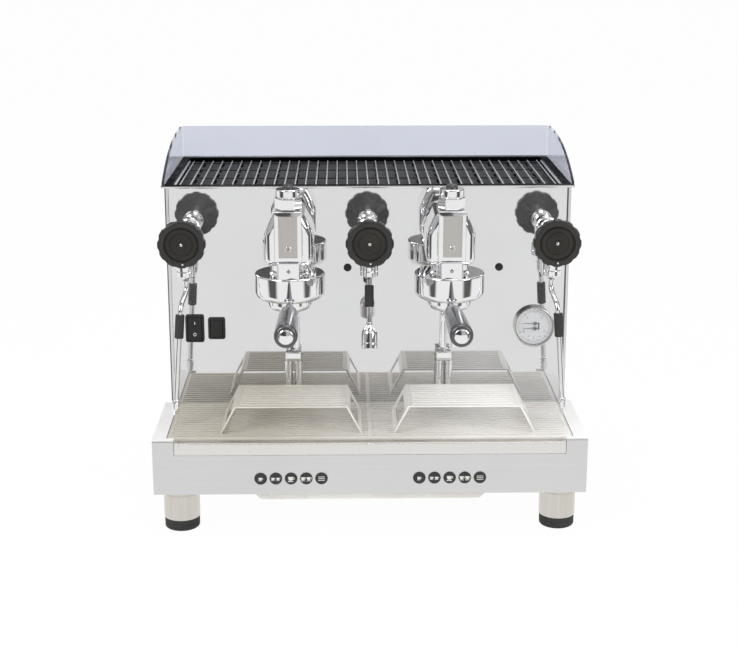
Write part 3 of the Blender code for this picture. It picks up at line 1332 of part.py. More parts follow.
def build():
    clear_scene()
    base_frame()
    cable_gland()
    drain_box()
    feet()
    side_panels()
    front_panel()
    rear_panel()
    cup_tray()
    cup_grid()
    cup_guard()
    drip_tray()
    drip_grid()
    for side, x in zip(SIDES, RISER_XS):
        cup_riser(side, x)
    buttons()
    switches()
    gauge()
    for side, x, turn in zip(SIDES, GROUP_XS, (0, RIGHT_HANDLE_TURN)):
        group_body(side, x)
        group_cover(side, x)
        drain_pipes(side, x)
        portafilter(side, x, turn)
        handle(side, x, turn)
    for side, x in zip(TAP_SIDES, TAP_XS):
        tap_body(side, x)
    wheels()
    balls()
    steam_wand("left", TAP_XS[0])
    steam_wand("right", TAP_XS[2])
    water_wand()
    boiler()
    pump_set()


build()
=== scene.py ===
import math

import bpy
from mathutils import Matrix, Vector
from mathutils.bvhtree import BVHTree


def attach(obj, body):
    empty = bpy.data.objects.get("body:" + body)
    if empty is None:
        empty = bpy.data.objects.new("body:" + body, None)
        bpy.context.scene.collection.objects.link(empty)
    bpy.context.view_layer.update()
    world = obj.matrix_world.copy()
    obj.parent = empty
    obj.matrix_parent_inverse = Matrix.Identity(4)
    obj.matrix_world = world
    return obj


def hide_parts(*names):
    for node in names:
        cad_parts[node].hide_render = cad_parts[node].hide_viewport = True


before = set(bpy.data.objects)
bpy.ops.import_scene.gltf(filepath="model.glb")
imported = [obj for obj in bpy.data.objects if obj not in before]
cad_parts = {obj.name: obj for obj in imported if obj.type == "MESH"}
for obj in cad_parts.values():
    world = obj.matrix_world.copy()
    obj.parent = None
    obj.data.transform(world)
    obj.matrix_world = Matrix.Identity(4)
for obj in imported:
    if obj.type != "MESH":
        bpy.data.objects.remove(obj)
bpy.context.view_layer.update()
print("frame loaded,", len(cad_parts), "nodes")

sides = ("left", "right")
# points closer than this are joined, in metres
closeness = {"drawn": 2e-6, "sheet": 5e-6, "cut": 1e-6, "letters": 1e-7}
# faces that meet within this angle become one flat face, in degrees
flatAngle = 0.6


# the helpers that every piece below is drawn with
def clearSelection():
    active = bpy.context.view_layer.objects.active
    if active is not None and active.mode != "OBJECT":
        bpy.ops.object.mode_set(mode="OBJECT")
    bpy.ops.object.select_all(action="DESELECT")


def choose(*pieces):
    clearSelection()
    for piece in pieces:
        piece.select_set(True)
    bpy.context.view_layer.objects.active = pieces[0]


def editAll(piece):
    choose(piece)
    bpy.ops.object.mode_set(mode="EDIT")
    bpy.ops.mesh.select_all(action="SELECT")


def settle():
    # puts the chosen piece's place, turn and size into its mesh
    bpy.ops.object.transform_apply(location=True, rotation=True, scale=True)


def nameShape(name):
    piece = bpy.context.object
    piece.name = name
    piece.data.name = name
    return piece


def ownCopy(source, name):
    # a copy with a mesh of its own
    piece = bpy.data.objects.new(name, source.data.copy())
    piece.data.name = name
    bpy.context.scene.collection.objects.link(piece)
    return piece


def near(at, *steps):
    # the point that lies so many steps from another
    return tuple(start + step for start, step in zip(at, steps))


def closeEdit(merge=closeness["drawn"]):
    # joins what meets, turns the faces outwards and leaves edit mode
    bpy.ops.mesh.select_all(action="SELECT")
    bpy.ops.mesh.remove_doubles(threshold=merge)
    bpy.ops.mesh.normals_make_consistent(inside=False)
    bpy.ops.object.mode_set(mode="OBJECT")


def drawPath(name, points):
    # a plane merged to one point, then one extrude per stretch
    clearSelection()
    bpy.ops.mesh.primitive_plane_add(size=0.002)
    piece = nameShape(name)
    bpy.ops.object.mode_set(mode="EDIT")
    bpy.ops.mesh.select_mode(type="VERT")
    bpy.ops.mesh.select_all(action="SELECT")
    bpy.ops.mesh.merge(type="CENTER")
    bpy.ops.transform.translate(value=points[0])
    for last, point in zip(points, points[1:]):
        step = Vector(point) - Vector(last)
        bpy.ops.mesh.extrude_region_move(TRANSFORM_OT_translate={"value": step})
    return piece


def softenEdges(piece, width, segments=2, angle=30):
    choose(piece)
    edge = piece.modifiers.new("soft edges", "BEVEL")
    edge.width = width
    edge.segments = segments
    edge.limit_method = "ANGLE"
    edge.angle_limit = math.radians(angle)
    edge.use_clamp_overlap = True
    bpy.ops.object.modifier_apply(modifier=edge.name)


def smoothFaces(piece, angle=35):
    # large faces keep flat normals, so flat metal reflects like flat metal
    choose(piece)
    bpy.ops.object.shade_smooth_by_angle(angle=math.radians(angle))
    even = piece.modifiers.new("even faces", "WEIGHTED_NORMAL")
    even.weight = 90
    even.keep_sharp = True
    bpy.ops.object.modifier_apply(modifier=even.name)


def spinShape(name, profile, at=(0, 0, 0), axis="Z", steps=64, soft=0.0, smooth=35):
    # profile: (radius, place along the axis)
    at = Vector(at)
    along = {"X": Vector((1, 0, 0)), "Y": Vector((0, 1, 0)), "Z": Vector((0, 0, 1))}[axis]
    out = Vector((0, 0, 1)) if axis == "X" else Vector((1, 0, 0))
    piece = drawPath(name, [at + out * radius + along * run for radius, run in profile])
    bpy.ops.mesh.select_all(action="SELECT")
    bpy.ops.mesh.spin(steps=steps, angle=math.tau, center=at, axis=along)
    closeEdit()
    if soft:
        softenEdges(piece, soft)
    smoothFaces(piece, smooth)
    return piece


def block(name, low, high, soft=0.0, segments=2):
    clearSelection()
    low = Vector(low)
    high = Vector(high)
    bpy.ops.mesh.primitive_cube_add(size=1, location=(low + high) / 2, scale=high - low)
    piece = nameShape(name)
    settle()
    if soft:
        softenEdges(piece, soft, segments)
        smoothFaces(piece)
    return piece


def outlineShape(name, outline, push, soft=0.0, segments=2):
    # a closed outline filled, then pushed out to its thickness
    piece = drawPath(name, list(outline) + [outline[0]])
    bpy.ops.mesh.select_all(action="SELECT")
    bpy.ops.mesh.remove_doubles(threshold=closeness["drawn"])
    bpy.ops.mesh.edge_face_add()
    bpy.ops.mesh.extrude_region_move(TRANSFORM_OT_translate={"value": push})
    closeEdit()
    if soft:
        softenEdges(piece, soft, segments)
        smoothFaces(piece)
    return piece


def tubeShape(name, points, radius, bend=0.0):
    # the path's corners are rounded, then it gets a round section
    piece = drawPath(name, points)
    if bend:
        bpy.ops.mesh.select_all(action="SELECT")
        bpy.ops.mesh.bevel(offset=bend, segments=8, affect="VERTICES")
    bpy.ops.object.mode_set(mode="OBJECT")
    choose(piece)
    bpy.ops.object.convert(target="CURVE")
    curve = bpy.context.object
    curve.data.bevel_depth = radius
    curve.data.bevel_resolution = 8
    curve.data.use_fill_caps = True
    bpy.ops.object.convert(target="MESH")
    piece = nameShape(name)
    editAll(piece)
    closeEdit()
    smoothFaces(piece, 50)
    return piece


def cutAway(piece, cutter):
    choose(piece)
    cut = piece.modifiers.new("cut", "BOOLEAN")
    cut.operation = "DIFFERENCE"
    cut.solver = "EXACT"
    cut.object = cutter
    bpy.ops.object.modifier_apply(modifier=cut.name)
    bpy.data.objects.remove(cutter)


def joinPieces(name, pieces):
    choose(*pieces)
    if len(pieces) > 1:
        bpy.ops.object.join()
    return nameShape(name)


def copyPiece(piece, name, move):
    copy = ownCopy(piece, name)
    choose(copy)
    copy.location = move
    settle()
    return copy
def copiesAt(piece, moves):
    # the piece itself, then a copy of it for each move
    return [piece] + [copyPiece(piece, piece.name, move) for move in moves]


def dropModels(*models):
    # takes away what was modelled only to be copied
    for model in models:
        bpy.data.objects.remove(model)


def finishPiece(piece, body, slot, material, *nodes):
    piece.data.materials.clear()
    piece.data.materials.append(material)
    if nodes:
        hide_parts(*nodes)
    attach(piece, body)
    return piece

def eachSide(piece, places):
    # a piece is modelled on the left, and every other side gets a copy of it
    made = {}
    for side, x in places.items():
        name = piece.name.replace("Left", side.title())
        made[side] = piece if side == "left" else copyPiece(piece, name, (x - places["left"], 0, 0))
    return made.items()


def finishSides(piece, places, body, slot, look, *nodes):
    # {} in the name of a body or node stands for the side
    for side, made in eachSide(piece, places):
        finishPiece(made, body.format(side), slot, looks[look], *[node.format(side) for node in nodes])


def sheetFromNode(node, name, body, slot, material, width, segments=2, smooth=32):
    # the CAD sheet part, merged and cleaned, with the small radius that folded steel has
    piece = ownCopy(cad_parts[node], name)
    editAll(piece)
    bpy.ops.mesh.remove_doubles(threshold=closeness["sheet"])
    bpy.ops.mesh.dissolve_limited(angle_limit=math.radians(flatAngle))
    bpy.ops.object.mode_set(mode="OBJECT")
    choose(piece)
    if piece.data.has_custom_normals:
        bpy.ops.mesh.customdata_custom_splitnormals_clear()
    softenEdges(piece, width, segments)
    smoothFaces(piece, smooth)
    return finishPiece(piece, body, slot, material, node)


# how wear shows: where each mark starts in its noise, and how fast it gains
wear = {
    "smearFrom": 0.42, "smearGain": 3.0, "scratchFrom": 0.66, "scratchGain": 9.0,
    "scratchAxis": (0.3, 1.0, 0.2), "scratchTurn": 0.6, "scratchStretch": (18, 60, 900),
    "dustFrom": 0.38, "dustGain": 2.4, "dustScale": 70.0, "dustRough": 0.4,
    "dustOnMetal": (0.62, 0.60, 0.56), "dustOnPlastic": (0.45, 0.43, 0.40),
}
# the guard's wings lie outside wingX, and their faces that look less sideways than this are cut edges
wingEdge = {"wingX": 0.3097, "sideways": 0.6, "fade": 0.7}


# shader groups are built once and placed in each material with its own values
def newGroup(name, inputs, outputs):
    # every group reads Coordinates, and an input of three numbers is a vector
    group = bpy.data.node_groups.new(name, "ShaderNodeTree")
    group.interface.new_socket(name="Coordinates", in_out="INPUT", socket_type="NodeSocketVector")
    for label, value in inputs.items():
        kind = "NodeSocketVector" if isinstance(value, tuple) else "NodeSocketFloat"
        socket = group.interface.new_socket(name=label, in_out="INPUT", socket_type=kind)
        socket.default_value = value
    for label in outputs:
        group.interface.new_socket(name=label, in_out="OUTPUT", socket_type="NodeSocketFloat")
    start = group.nodes.new("NodeGroupInput")
    end = group.nodes.new("NodeGroupOutput")
    return group, start.outputs, end.inputs


def setOrLink(tree, value, socket):
    # a number, vector or colour is typed in, anything else is a node's output
    if isinstance(value, (int, float, tuple, list)):
        socket.default_value = value
    else:
        tree.links.new(value, socket)


def mathNode(tree, operation, first, second=None, third=None, clamp=False):
    node = tree.nodes.new("ShaderNodeMath")
    node.operation = operation
    node.use_clamp = clamp
    for socket, value in zip(node.inputs, (first, second, third)):
        if value is not None:
            setOrLink(tree, value, socket)
    return node.outputs[0]


def noiseNode(tree, vector, scale, detail=3.0, rough=0.5):
    node = tree.nodes.new("ShaderNodeTexNoise")
    node.inputs["Detail"].default_value = detail
    node.inputs["Roughness"].default_value = rough
    tree.links.new(vector, node.inputs["Vector"])
    setOrLink(tree, scale, node.inputs["Scale"])
    return node.outputs[0]


def stretchNode(tree, vector, stretch):
    node = tree.nodes.new("ShaderNodeVectorMath")
    node.operation = "MULTIPLY"
    tree.links.new(vector, node.inputs[0])
    setOrLink(tree, stretch, node.inputs[1])
    return node.outputs[0]


def splitNode(tree, vector):
    node = tree.nodes.new("ShaderNodeSeparateXYZ")
    tree.links.new(vector, node.inputs[0])
    return node.outputs


def facingParts(tree):
    # which way a face looks, as X, Y and Z
    return splitNode(tree, tree.nodes.new("ShaderNodeNewGeometry").outputs["Normal"])


def brushedGrainGroup():
    # fine parallel lines; Stretch is small along the brushing and large across it
    group, start, end = newGroup("brushedGrain", {"Stretch": (4, 900, 900), "Contrast": 0.5},
                                 ("Shade", "Height"))
    place = start["Coordinates"]
    lines = noiseNode(group, stretchNode(group, place, start["Stretch"]), 1.0, 2.0, 0.6)
    coarse = stretchNode(group, start["Stretch"], (0.5, 0.21, 0.21))
    wide = noiseNode(group, stretchNode(group, place, coarse), 1.0, 2.0, 0.5)
    both = mathNode(group, "MULTIPLY_ADD", wide, 0.5, mathNode(group, "MULTIPLY", lines, 0.5))
    centred = mathNode(group, "SUBTRACT", both, 0.5)
    group.links.new(mathNode(group, "MULTIPLY", centred, start["Contrast"]), end["Shade"])
    group.links.new(both, end["Height"])
    return group


def handlingGroup():
    # soft cloudy smears with a few fine scratches, as wiped steel has
    group, start, end = newGroup("handlingMarks", {"Scale": 9.0, "Amount": 1.0}, ("Smear", "Scratch"))
    place, amount = start["Coordinates"], start["Amount"]
    cloud = noiseNode(group, place, start["Scale"], 4.0, 0.55)
    spread = mathNode(group, "SUBTRACT", cloud, wear["smearFrom"])
    smear = mathNode(group, "MULTIPLY", spread, wear["smearGain"], clamp=True)
    group.links.new(mathNode(group, "MULTIPLY", smear, amount), end["Smear"])
    tilt = group.nodes.new("ShaderNodeVectorRotate")
    tilt.inputs["Axis"].default_value = wear["scratchAxis"]
    tilt.inputs["Angle"].default_value = wear["scratchTurn"]
    group.links.new(place, tilt.inputs["Vector"])
    streak = noiseNode(group, stretchNode(group, tilt.outputs[0], wear["scratchStretch"]), 1.0, 1.0, 0.4)
    spread = mathNode(group, "SUBTRACT", streak, wear["scratchFrom"])
    thin = mathNode(group, "MULTIPLY", spread, wear["scratchGain"], clamp=True)
    group.links.new(mathNode(group, "MULTIPLY", thin, amount), end["Scratch"])
    return group


def speckleGroup():
    # the fine skin of moulded plastic, rubber or a casting
    group, start, end = newGroup("mouldedSkin", {"Scale": 1800.0}, ("Height", "Tone"))
    place, scale = start["Coordinates"], start["Scale"]
    group.links.new(noiseNode(group, place, scale, 2.0, 0.6), end["Height"])
    group.links.new(noiseNode(group, place, mathNode(group, "MULTIPLY", scale, 0.02), 3.0), end["Tone"])
    return group


def dustGroup():
    # pale dust that lies where a face looks up
    group, start, end = newGroup("settledDust", {"Amount": 0.3}, ("Mask",))
    up = mathNode(group, "MULTIPLY", facingParts(group)["Z"], 1.0, clamp=True)
    cloud = noiseNode(group, start["Coordinates"], wear["dustScale"], 5.0, 0.65)
    spread = mathNode(group, "SUBTRACT", cloud, wear["dustFrom"])
    patch = mathNode(group, "MULTIPLY", spread, wear["dustGain"], clamp=True)
    mask = mathNode(group, "MULTIPLY", mathNode(group, "MULTIPLY", up, patch), start["Amount"])
    group.links.new(mask, end["Mask"])
    return group


def facingGroup(name, axis, sign):
    # finds the faces that look one way, such as up, where strong light washes steel out
    group, start, end = newGroup(name, {}, ("Mask",))
    cloud = noiseNode(group, start["Coordinates"], 12.0, 3.0)
    facing = mathNode(group, "MULTIPLY_ADD", facingParts(group)[axis], 2.0 * sign, -1.0, clamp=True)
    uneven = mathNode(group, "MULTIPLY_ADD", cloud, 0.2, 0.9)
    group.links.new(mathNode(group, "MULTIPLY", facing, uneven), end["Mask"])
    return group


def sheetEdgeGroup():
    # lets the cut edges of the guard's two wings show through, which keeps their outline thin
    group, start, end = newGroup("sheetEdges", {}, ("Alpha",))
    outward = mathNode(group, "ABSOLUTE", splitNode(group, start["Coordinates"])["X"])
    wing = mathNode(group, "GREATER_THAN", outward, wingEdge["wingX"])
    sideways = mathNode(group, "ABSOLUTE", facingParts(group)["X"])
    edge = mathNode(group, "LESS_THAN", sideways, wingEdge["sideways"])
    both = mathNode(group, "MULTIPLY", wing, edge)
    group.links.new(mathNode(group, "MULTIPLY_ADD", both, -wingEdge["fade"], 1.0), end["Alpha"])
    return group


groups = {
    "edge": sheetEdgeGroup(),
    "top": facingGroup("upwardFaces", "Z", 1),
    "front": facingGroup("forwardFaces", "Y", -1),
    "grain": brushedGrainGroup(),
    "handling": handlingGroup(),
    "skin": speckleGroup(),
    "dust": dustGroup(),
}


def placeGroup(tree, key, vector, **values):
    node = tree.nodes.new("ShaderNodeGroup")
    node.node_tree = groups[key]
    tree.links.new(vector, node.inputs["Coordinates"])
    for label, value in values.items():
        node.inputs[label].default_value = value
    return node


def startMaterial(name, roughness, metallic):
    material = bpy.data.materials.new(name)
    material.use_nodes = True
    tree = material.node_tree
    shader = tree.nodes["Principled BSDF"]
    shader.inputs["Roughness"].default_value = roughness
    shader.inputs["Metallic"].default_value = metallic
    place = tree.nodes.new("ShaderNodeTexCoord").outputs["Object"]
    return material, tree, shader, place


def mixColours(tree, factor, first, second):
    node = tree.nodes.new("ShaderNodeMix")
    node.data_type = "RGBA"
    setOrLink(tree, factor, node.inputs[0])
    for socket, value in ((node.inputs[6], first), (node.inputs[7], second)):
        setOrLink(tree, (*value, 1.0) if isinstance(value, (tuple, list)) else value, socket)
    return node.outputs[2]


def bumpNode(tree, shader, height, strength, distance):
    bump = tree.nodes.new("ShaderNodeBump")
    bump.inputs["Strength"].default_value = strength
    bump.inputs["Distance"].default_value = distance
    tree.links.new(height, bump.inputs["Height"])
    tree.links.new(bump.outputs[0], shader.inputs["Normal"])
    return bump


def maskWhere(tree, parts, spans, operation):
    # where two spans of place, each (axis, middle, reach), both hold or either does
    first, second = [mathNode(tree, "COMPARE", parts[axis], at, reach) for axis, at, reach in spans]
    return mathNode(tree, operation, first, second)


def metalMaterial(name, look):
    # polished, brushed or satin metal, all from the same four parts
    material, tree, shader, place = startMaterial(name, look["roughness"], look["metallic"])
    grain = placeGroup(tree, "grain", place, Stretch=look["stretch"], Contrast=look["contrast"])
    marks = placeGroup(tree, "handling", place, Scale=look["smearScale"], Amount=look["marks"])
    tone = mathNode(tree, "ADD", grain.outputs["Shade"], 0.5, clamp=True)
    parts = splitNode(tree, place)
    # painted light: the tone grows along one axis, so the metal is lighter where more light falls and darker
    # where shade falls
    if look["lean"]:
        axis, slope, middle = look["lean"]
        along = mathNode(tree, "SUBTRACT", parts[axis], middle)
        tone = mathNode(tree, "MULTIPLY_ADD", along, slope, tone, clamp=True)
    colour = mixColours(tree, tone, look["dark"], look["light"])
    stain = mathNode(tree, "MULTIPLY", marks.outputs["Smear"], look["stain"])
    colour = mixColours(tree, stain, colour, look["stainColour"])
    dust = placeGroup(tree, "dust", place, Amount=look["dust"])
    colour = mixColours(tree, dust.outputs["Mask"], colour, wear["dustOnMetal"])
    # painted shade: the forward faces of the side panels' edges are made dark along the seams where they meet
    # the front
    if look["darkFront"]:
        front = placeGroup(tree, "front", place)
        seams = maskWhere(tree, parts, look["seams"], "MAXIMUM")
        mask = mathNode(tree, "MULTIPLY", front.outputs["Mask"], seams)
        colour = mixColours(tree, mask, colour, look["darkFront"])
    # painted shade: the cup tray is made nearly black inside its warming well
    if look["darkInside"]:
        inside = maskWhere(tree, parts, look["inside"], "MULTIPLY")
        colour = mixColours(tree, inside, colour, look["darkInside"])
    # painted reflection: faces that look up take the top colour, a painted highlight where light washes the
    # steel out, or a painted dark reflection on the cup tray's rim
    if look["paleTop"]:
        top = placeGroup(tree, "top", place)
        colour = mixColours(tree, top.outputs["Mask"], colour, look["topColour"])
        plain = mathNode(tree, "MULTIPLY_ADD", top.outputs["Mask"], -look["paleTop"], look["metallic"])
        tree.links.new(plain, shader.inputs["Metallic"])
    tree.links.new(colour, shader.inputs["Base Color"])
    rough = mathNode(tree, "MULTIPLY_ADD", marks.outputs["Smear"], look["smearRough"], look["roughness"])
    rough = mathNode(tree, "MULTIPLY_ADD", marks.outputs["Scratch"], look["scratchRough"], rough)
    rough = mathNode(tree, "MULTIPLY_ADD", dust.outputs["Mask"], wear["dustRough"], rough)
    tree.links.new(rough, shader.inputs["Roughness"])
    bumpNode(tree, shader, grain.outputs["Height"], look["bump"], look["depth"])
    shader.inputs["Specular IOR Level"].default_value = look["specular"]
    return material


def plasticMaterial(name, look):
    material, tree, shader, place = startMaterial(name, look["roughness"], 0.0)
    skin = placeGroup(tree, "skin", place, Scale=look["scale"])
    marks = placeGroup(tree, "handling", place, Scale=look["smearScale"], Amount=look["marks"])
    colour = mixColours(tree, skin.outputs["Tone"], look["dark"], look["light"])
    dust = placeGroup(tree, "dust", place, Amount=look["dust"])
    colour = mixColours(tree, dust.outputs["Mask"], colour, wear["dustOnPlastic"])
    tree.links.new(colour, shader.inputs["Base Color"])
    rough = mathNode(tree, "MULTIPLY_ADD", marks.outputs["Smear"], look["smearRough"], look["roughness"])
    tree.links.new(rough, shader.inputs["Roughness"])
    bumpNode(tree, shader, skin.outputs["Height"], look["bump"], look["depth"])
    shader.inputs["Specular IOR Level"].default_value = look["specular"]
    return material


def clearMaterial(name, look):
    material, tree, shader, place = startMaterial(name, look["roughness"], 0.0)
    shader.inputs["Transmission Weight"].default_value = look["transmission"]
    shader.inputs["IOR"].default_value = look["ior"]
    shader.inputs["Alpha"].default_value = look["alpha"]
    if look["clearEdges"]:
        edges = placeGroup(tree, "edge", place)
        tree.links.new(edges.outputs["Alpha"], shader.inputs["Alpha"])
    marks = placeGroup(tree, "handling", place, Scale=look["smearScale"], Amount=look["marks"])
    smeared = [value * look["smearTint"] for value in look["colour"]]
    tint = mixColours(tree, marks.outputs["Smear"], look["colour"], smeared)
    tree.links.new(tint, shader.inputs["Base Color"])
    rough = mathNode(tree, "MULTIPLY_ADD", marks.outputs["Smear"], look["smearRough"], look["roughness"])
    tree.links.new(rough, shader.inputs["Roughness"])
    return material


# what a metal look leaves out is taken from here
plainMetal = {
    "stretch": (6.0, 700.0, 700.0), "contrast": 0.4, "smearScale": 9.0, "marks": 1.0, "stain": 0.0,
    "stainColour": (0.40, 0.36, 0.30), "dust": 0.0, "smearRough": 0.02, "scratchRough": 0.05,
    "bump": 0.05, "depth": 0.00005, "metallic": 1.0, "specular": 0.5,
    "lean": None, "darkFront": None, "darkInside": None, "paleTop": 0.0, "topColour": (0.98, 0.98, 0.975),
}
sheetSteel = dict(plainMetal, roughness=0.22, dark=(0.60, 0.595, 0.585), light=(0.74, 0.735, 0.725),
                  contrast=0.6, bump=0.08, smearRough=0.05)

# lean: (axis, slope, middle) paints light along an axis: the metal is made lighter one way and darker the
# other
# the seam spans and the inside spans: each two spans of place, (axis, middle, reach), that get painted shade
metalLooks = {
    "mirrorSteel": dict(plainMetal, roughness=0.03, dark=(0.66, 0.662, 0.668), light=(0.76, 0.762, 0.768),
                        metallic=0.93, contrast=0.35, bump=0.015, stain=0.06, smearScale=5.0,
                        smearRough=0.03),
    # the base housing has a painted highlight on its top faces
    "frontSteel": dict(plainMetal, roughness=0.33, dark=(0.61, 0.61, 0.612), light=(0.76, 0.758, 0.755),
                       contrast=0.6, bump=0.10, smearRough=0.05, paleTop=0.85),
    "sideSteel": sheetSteel,
    # the side panels get painted shade along their front edges
    "flankSteel": dict(sheetSteel, darkFront=(0.11, 0.108, 0.104),
                       seams=(("X", -0.3094, 0.0012), ("X", 0.3052, 0.0010))),
    # the rim's top faces get a painted dark reflection, and its warming well gets painted shade
    "rimSteel": dict(plainMetal, roughness=0.16, dark=(0.66, 0.66, 0.655), light=(0.82, 0.82, 0.815),
                     contrast=0.5, bump=0.05, paleTop=0.97, topColour=(0.012, 0.012, 0.013), specular=0.0,
                     darkInside=(0.02, 0.02, 0.021), inside=(("X", 0.0, 0.3003), ("Y", 0.1459, 0.1361))),
    # the tray lip has a painted highlight on its top faces
    "lipSteel": dict(plainMetal, roughness=0.26, dark=(0.66, 0.65, 0.63), light=(0.82, 0.81, 0.785),
                     contrast=0.6, bump=0.08, paleTop=0.5),
    # the grid is painted lighter towards the right, where more light falls on it
    "gridSteel": dict(plainMetal, roughness=0.34, dark=(0.70, 0.665, 0.60), light=(1.0, 0.985, 0.965),
                      metallic=0.25, stretch=(3.0, 420.0, 420.0), contrast=0.8, bump=0.12,
                      stain=0.2, stainColour=(0.55, 0.50, 0.42), smearScale=7.0, smearRough=0.08,
                      dust=0.05, lean=("X", 3.2, 0.0)),
    "panSteel": dict(plainMetal, roughness=0.34, dark=(0.80, 0.78, 0.74), light=(0.94, 0.92, 0.88),
                     metallic=0.2, contrast=0.7, stain=0.3, bump=0.1),
    "chrome": dict(plainMetal, roughness=0.035, dark=(0.76, 0.76, 0.77), light=(0.86, 0.86, 0.87),
                   stretch=(60.0, 60.0, 60.0), contrast=0.5, bump=0.012, smearScale=40.0),
    "wandSteel": dict(plainMetal, roughness=0.07, dark=(0.66, 0.66, 0.66), light=(0.80, 0.80, 0.80),
                      stretch=(300.0, 300.0, 12.0), contrast=0.5, bump=0.03, smearScale=30.0),
    "coverNickel": dict(plainMetal, roughness=0.27, dark=(0.42, 0.405, 0.38), light=(0.60, 0.58, 0.545),
                        stretch=(900.0, 900.0, 9.0), contrast=0.9, bump=0.10, smearScale=30.0),
    "footSteel": dict(plainMetal, roughness=0.26, dark=(0.52, 0.495, 0.45), light=(0.74, 0.715, 0.665),
                      stretch=(500.0, 500.0, 9.0), contrast=1.0, bump=0.08, smearScale=30.0),
    "rodSteel": dict(plainMetal, roughness=0.22, dark=(0.56, 0.555, 0.54), light=(0.76, 0.75, 0.73),
                     stretch=(300.0, 8.0, 300.0), contrast=0.5, bump=0.05),
    # the rack's rods are painted darker towards the back, as painted shade in the well
    "rackRod": dict(plainMetal, roughness=0.25, dark=(0.12, 0.122, 0.125), light=(0.76, 0.76, 0.76),
                    metallic=0.7, stretch=(300.0, 8.0, 300.0), contrast=0.6, bump=0.05,
                    lean=("Y", -4.0, 0.12)),
    "handleMetal": dict(plainMetal, roughness=0.20, dark=(0.26, 0.265, 0.28), light=(0.44, 0.445, 0.46),
                        metallic=0.9, stretch=(300.0, 12.0, 300.0), contrast=0.6, bump=0.04,
                        smearScale=50.0, smearRough=0.08),
    "handleRing": dict(plainMetal, roughness=0.30, dark=(0.085, 0.085, 0.088), light=(0.15, 0.15, 0.155),
                       contrast=0.5, smearScale=60.0, metallic=0.8),
    "copperSheet": dict(plainMetal, roughness=0.30, dark=(0.62, 0.33, 0.20), light=(0.90, 0.56, 0.40),
                        contrast=0.7, stain=0.5, stainColour=(0.25, 0.14, 0.08), smearScale=14.0,
                        smearRough=0.2),
    "castGrey": dict(plainMetal, roughness=0.45, dark=(0.20, 0.205, 0.21), light=(0.34, 0.345, 0.35),
                     stretch=(400.0, 400.0, 400.0), contrast=0.9, bump=0.4, depth=0.0002, dust=0.3),
    "bedBlack": dict(plainMetal, roughness=0.55, dark=(0.020, 0.020, 0.0205), light=(0.056, 0.056, 0.057),
                     stretch=(300.0, 300.0, 300.0), contrast=0.8, bump=0.1, dust=0.02, metallic=0.6),
}

plainPlastic = {"smearScale": 60.0, "marks": 0.6, "smearRough": 0.12, "dust": 0.05, "specular": 0.5}
flatPaint = dict(plainPlastic, roughness=0.5, scale=900.0, bump=0.05, depth=0.00003, dust=0.0)

plasticLooks = {
    "wheelPlastic": dict(plainPlastic, roughness=0.27, dark=(0.008, 0.0075, 0.007),
                         light=(0.021, 0.019, 0.017), scale=2200.0, bump=0.18, depth=0.00008,
                         smearRough=0.10),
    "wheelDisc": dict(plainPlastic, roughness=0.45, dark=(0.006, 0.005, 0.004), light=(0.034, 0.029, 0.024),
                      scale=1500.0, bump=0.45, depth=0.00015, specular=0.3, smearRough=0.14),
    "switchPlastic": dict(plainPlastic, roughness=0.40, dark=(0.009, 0.0085, 0.0085),
                          light=(0.022, 0.021, 0.020), scale=2600.0, bump=0.22, depth=0.00006,
                          specular=0.4),
    "buttonPlastic": dict(plainPlastic, roughness=0.32, dark=(0.010, 0.010, 0.011),
                          light=(0.026, 0.026, 0.027), scale=2600.0, bump=0.12, depth=0.00005),
    "gripRubber": dict(plainPlastic, roughness=0.62, dark=(0.013, 0.013, 0.013), light=(0.035, 0.034, 0.033),
                       scale=1400.0, bump=0.35, depth=0.0001),
    "padRubber": dict(plainPlastic, roughness=0.68, dark=(0.012, 0.012, 0.012), light=(0.032, 0.031, 0.030),
                      scale=900.0, bump=0.4, depth=0.0002, dust=0.2),
    "dialPaint": dict(flatPaint, roughness=0.48, dark=(0.74, 0.75, 0.77), light=(0.82, 0.83, 0.85)),
    "printPale": dict(flatPaint, dark=(0.62, 0.61, 0.58), light=(0.76, 0.75, 0.72)),
    "printDark": dict(flatPaint, dark=(0.018, 0.018, 0.018), light=(0.04, 0.04, 0.04)),
    "needlePaint": dict(flatPaint, roughness=0.4, dark=(0.015, 0.015, 0.016), light=(0.03, 0.03, 0.031)),
    "gasketRubber": dict(plainPlastic, roughness=0.7, dark=(0.02, 0.02, 0.02), light=(0.05, 0.048, 0.045),
                         scale=900.0, bump=0.3, depth=0.0001),
}

plainClear = {"smearScale": 12.0, "marks": 0.7, "smearTint": 0.96, "smearRough": 0.03}
clearLooks = {
    "guardClear": dict(plainClear, colour=(0.665, 0.69, 0.775), roughness=0.03, transmission=0.95, ior=1.12,
                       alpha=1.0, clearEdges=True),
    "gaugeGlass": dict(plainClear, colour=(0.90, 0.91, 0.92), roughness=0.02, transmission=0.0, ior=1.49,
                       alpha=0.10, clearEdges=False),
}

looks = {name: metalMaterial(name, look) for name, look in metalLooks.items()}
looks.update({name: plasticMaterial(name, look) for name, look in plasticLooks.items()})
looks.update({name: clearMaterial(name, look) for name, look in clearLooks.items()})
print("materials built,", len(looks))

# place in metres, tilt and turn in degrees, lens and sensor in millimetres
view = {
    "place": (-0.0378, -2.23215, 0.8848), "tilt": 74.859, "turn": -0.995, "lens": 72.41, "sensor": 36,
    "reach": 200,
}

bpy.ops.object.camera_add(
    location=view["place"], rotation=(math.radians(view["tilt"]), 0, math.radians(view["turn"])),
)
camera = bpy.context.object
camera.data.lens = view["lens"]
camera.data.sensor_width = view["sensor"]
camera.data.clip_end = view["reach"]
bpy.context.scene.camera = camera
bpy.context.scene.view_settings.view_transform = "Standard"

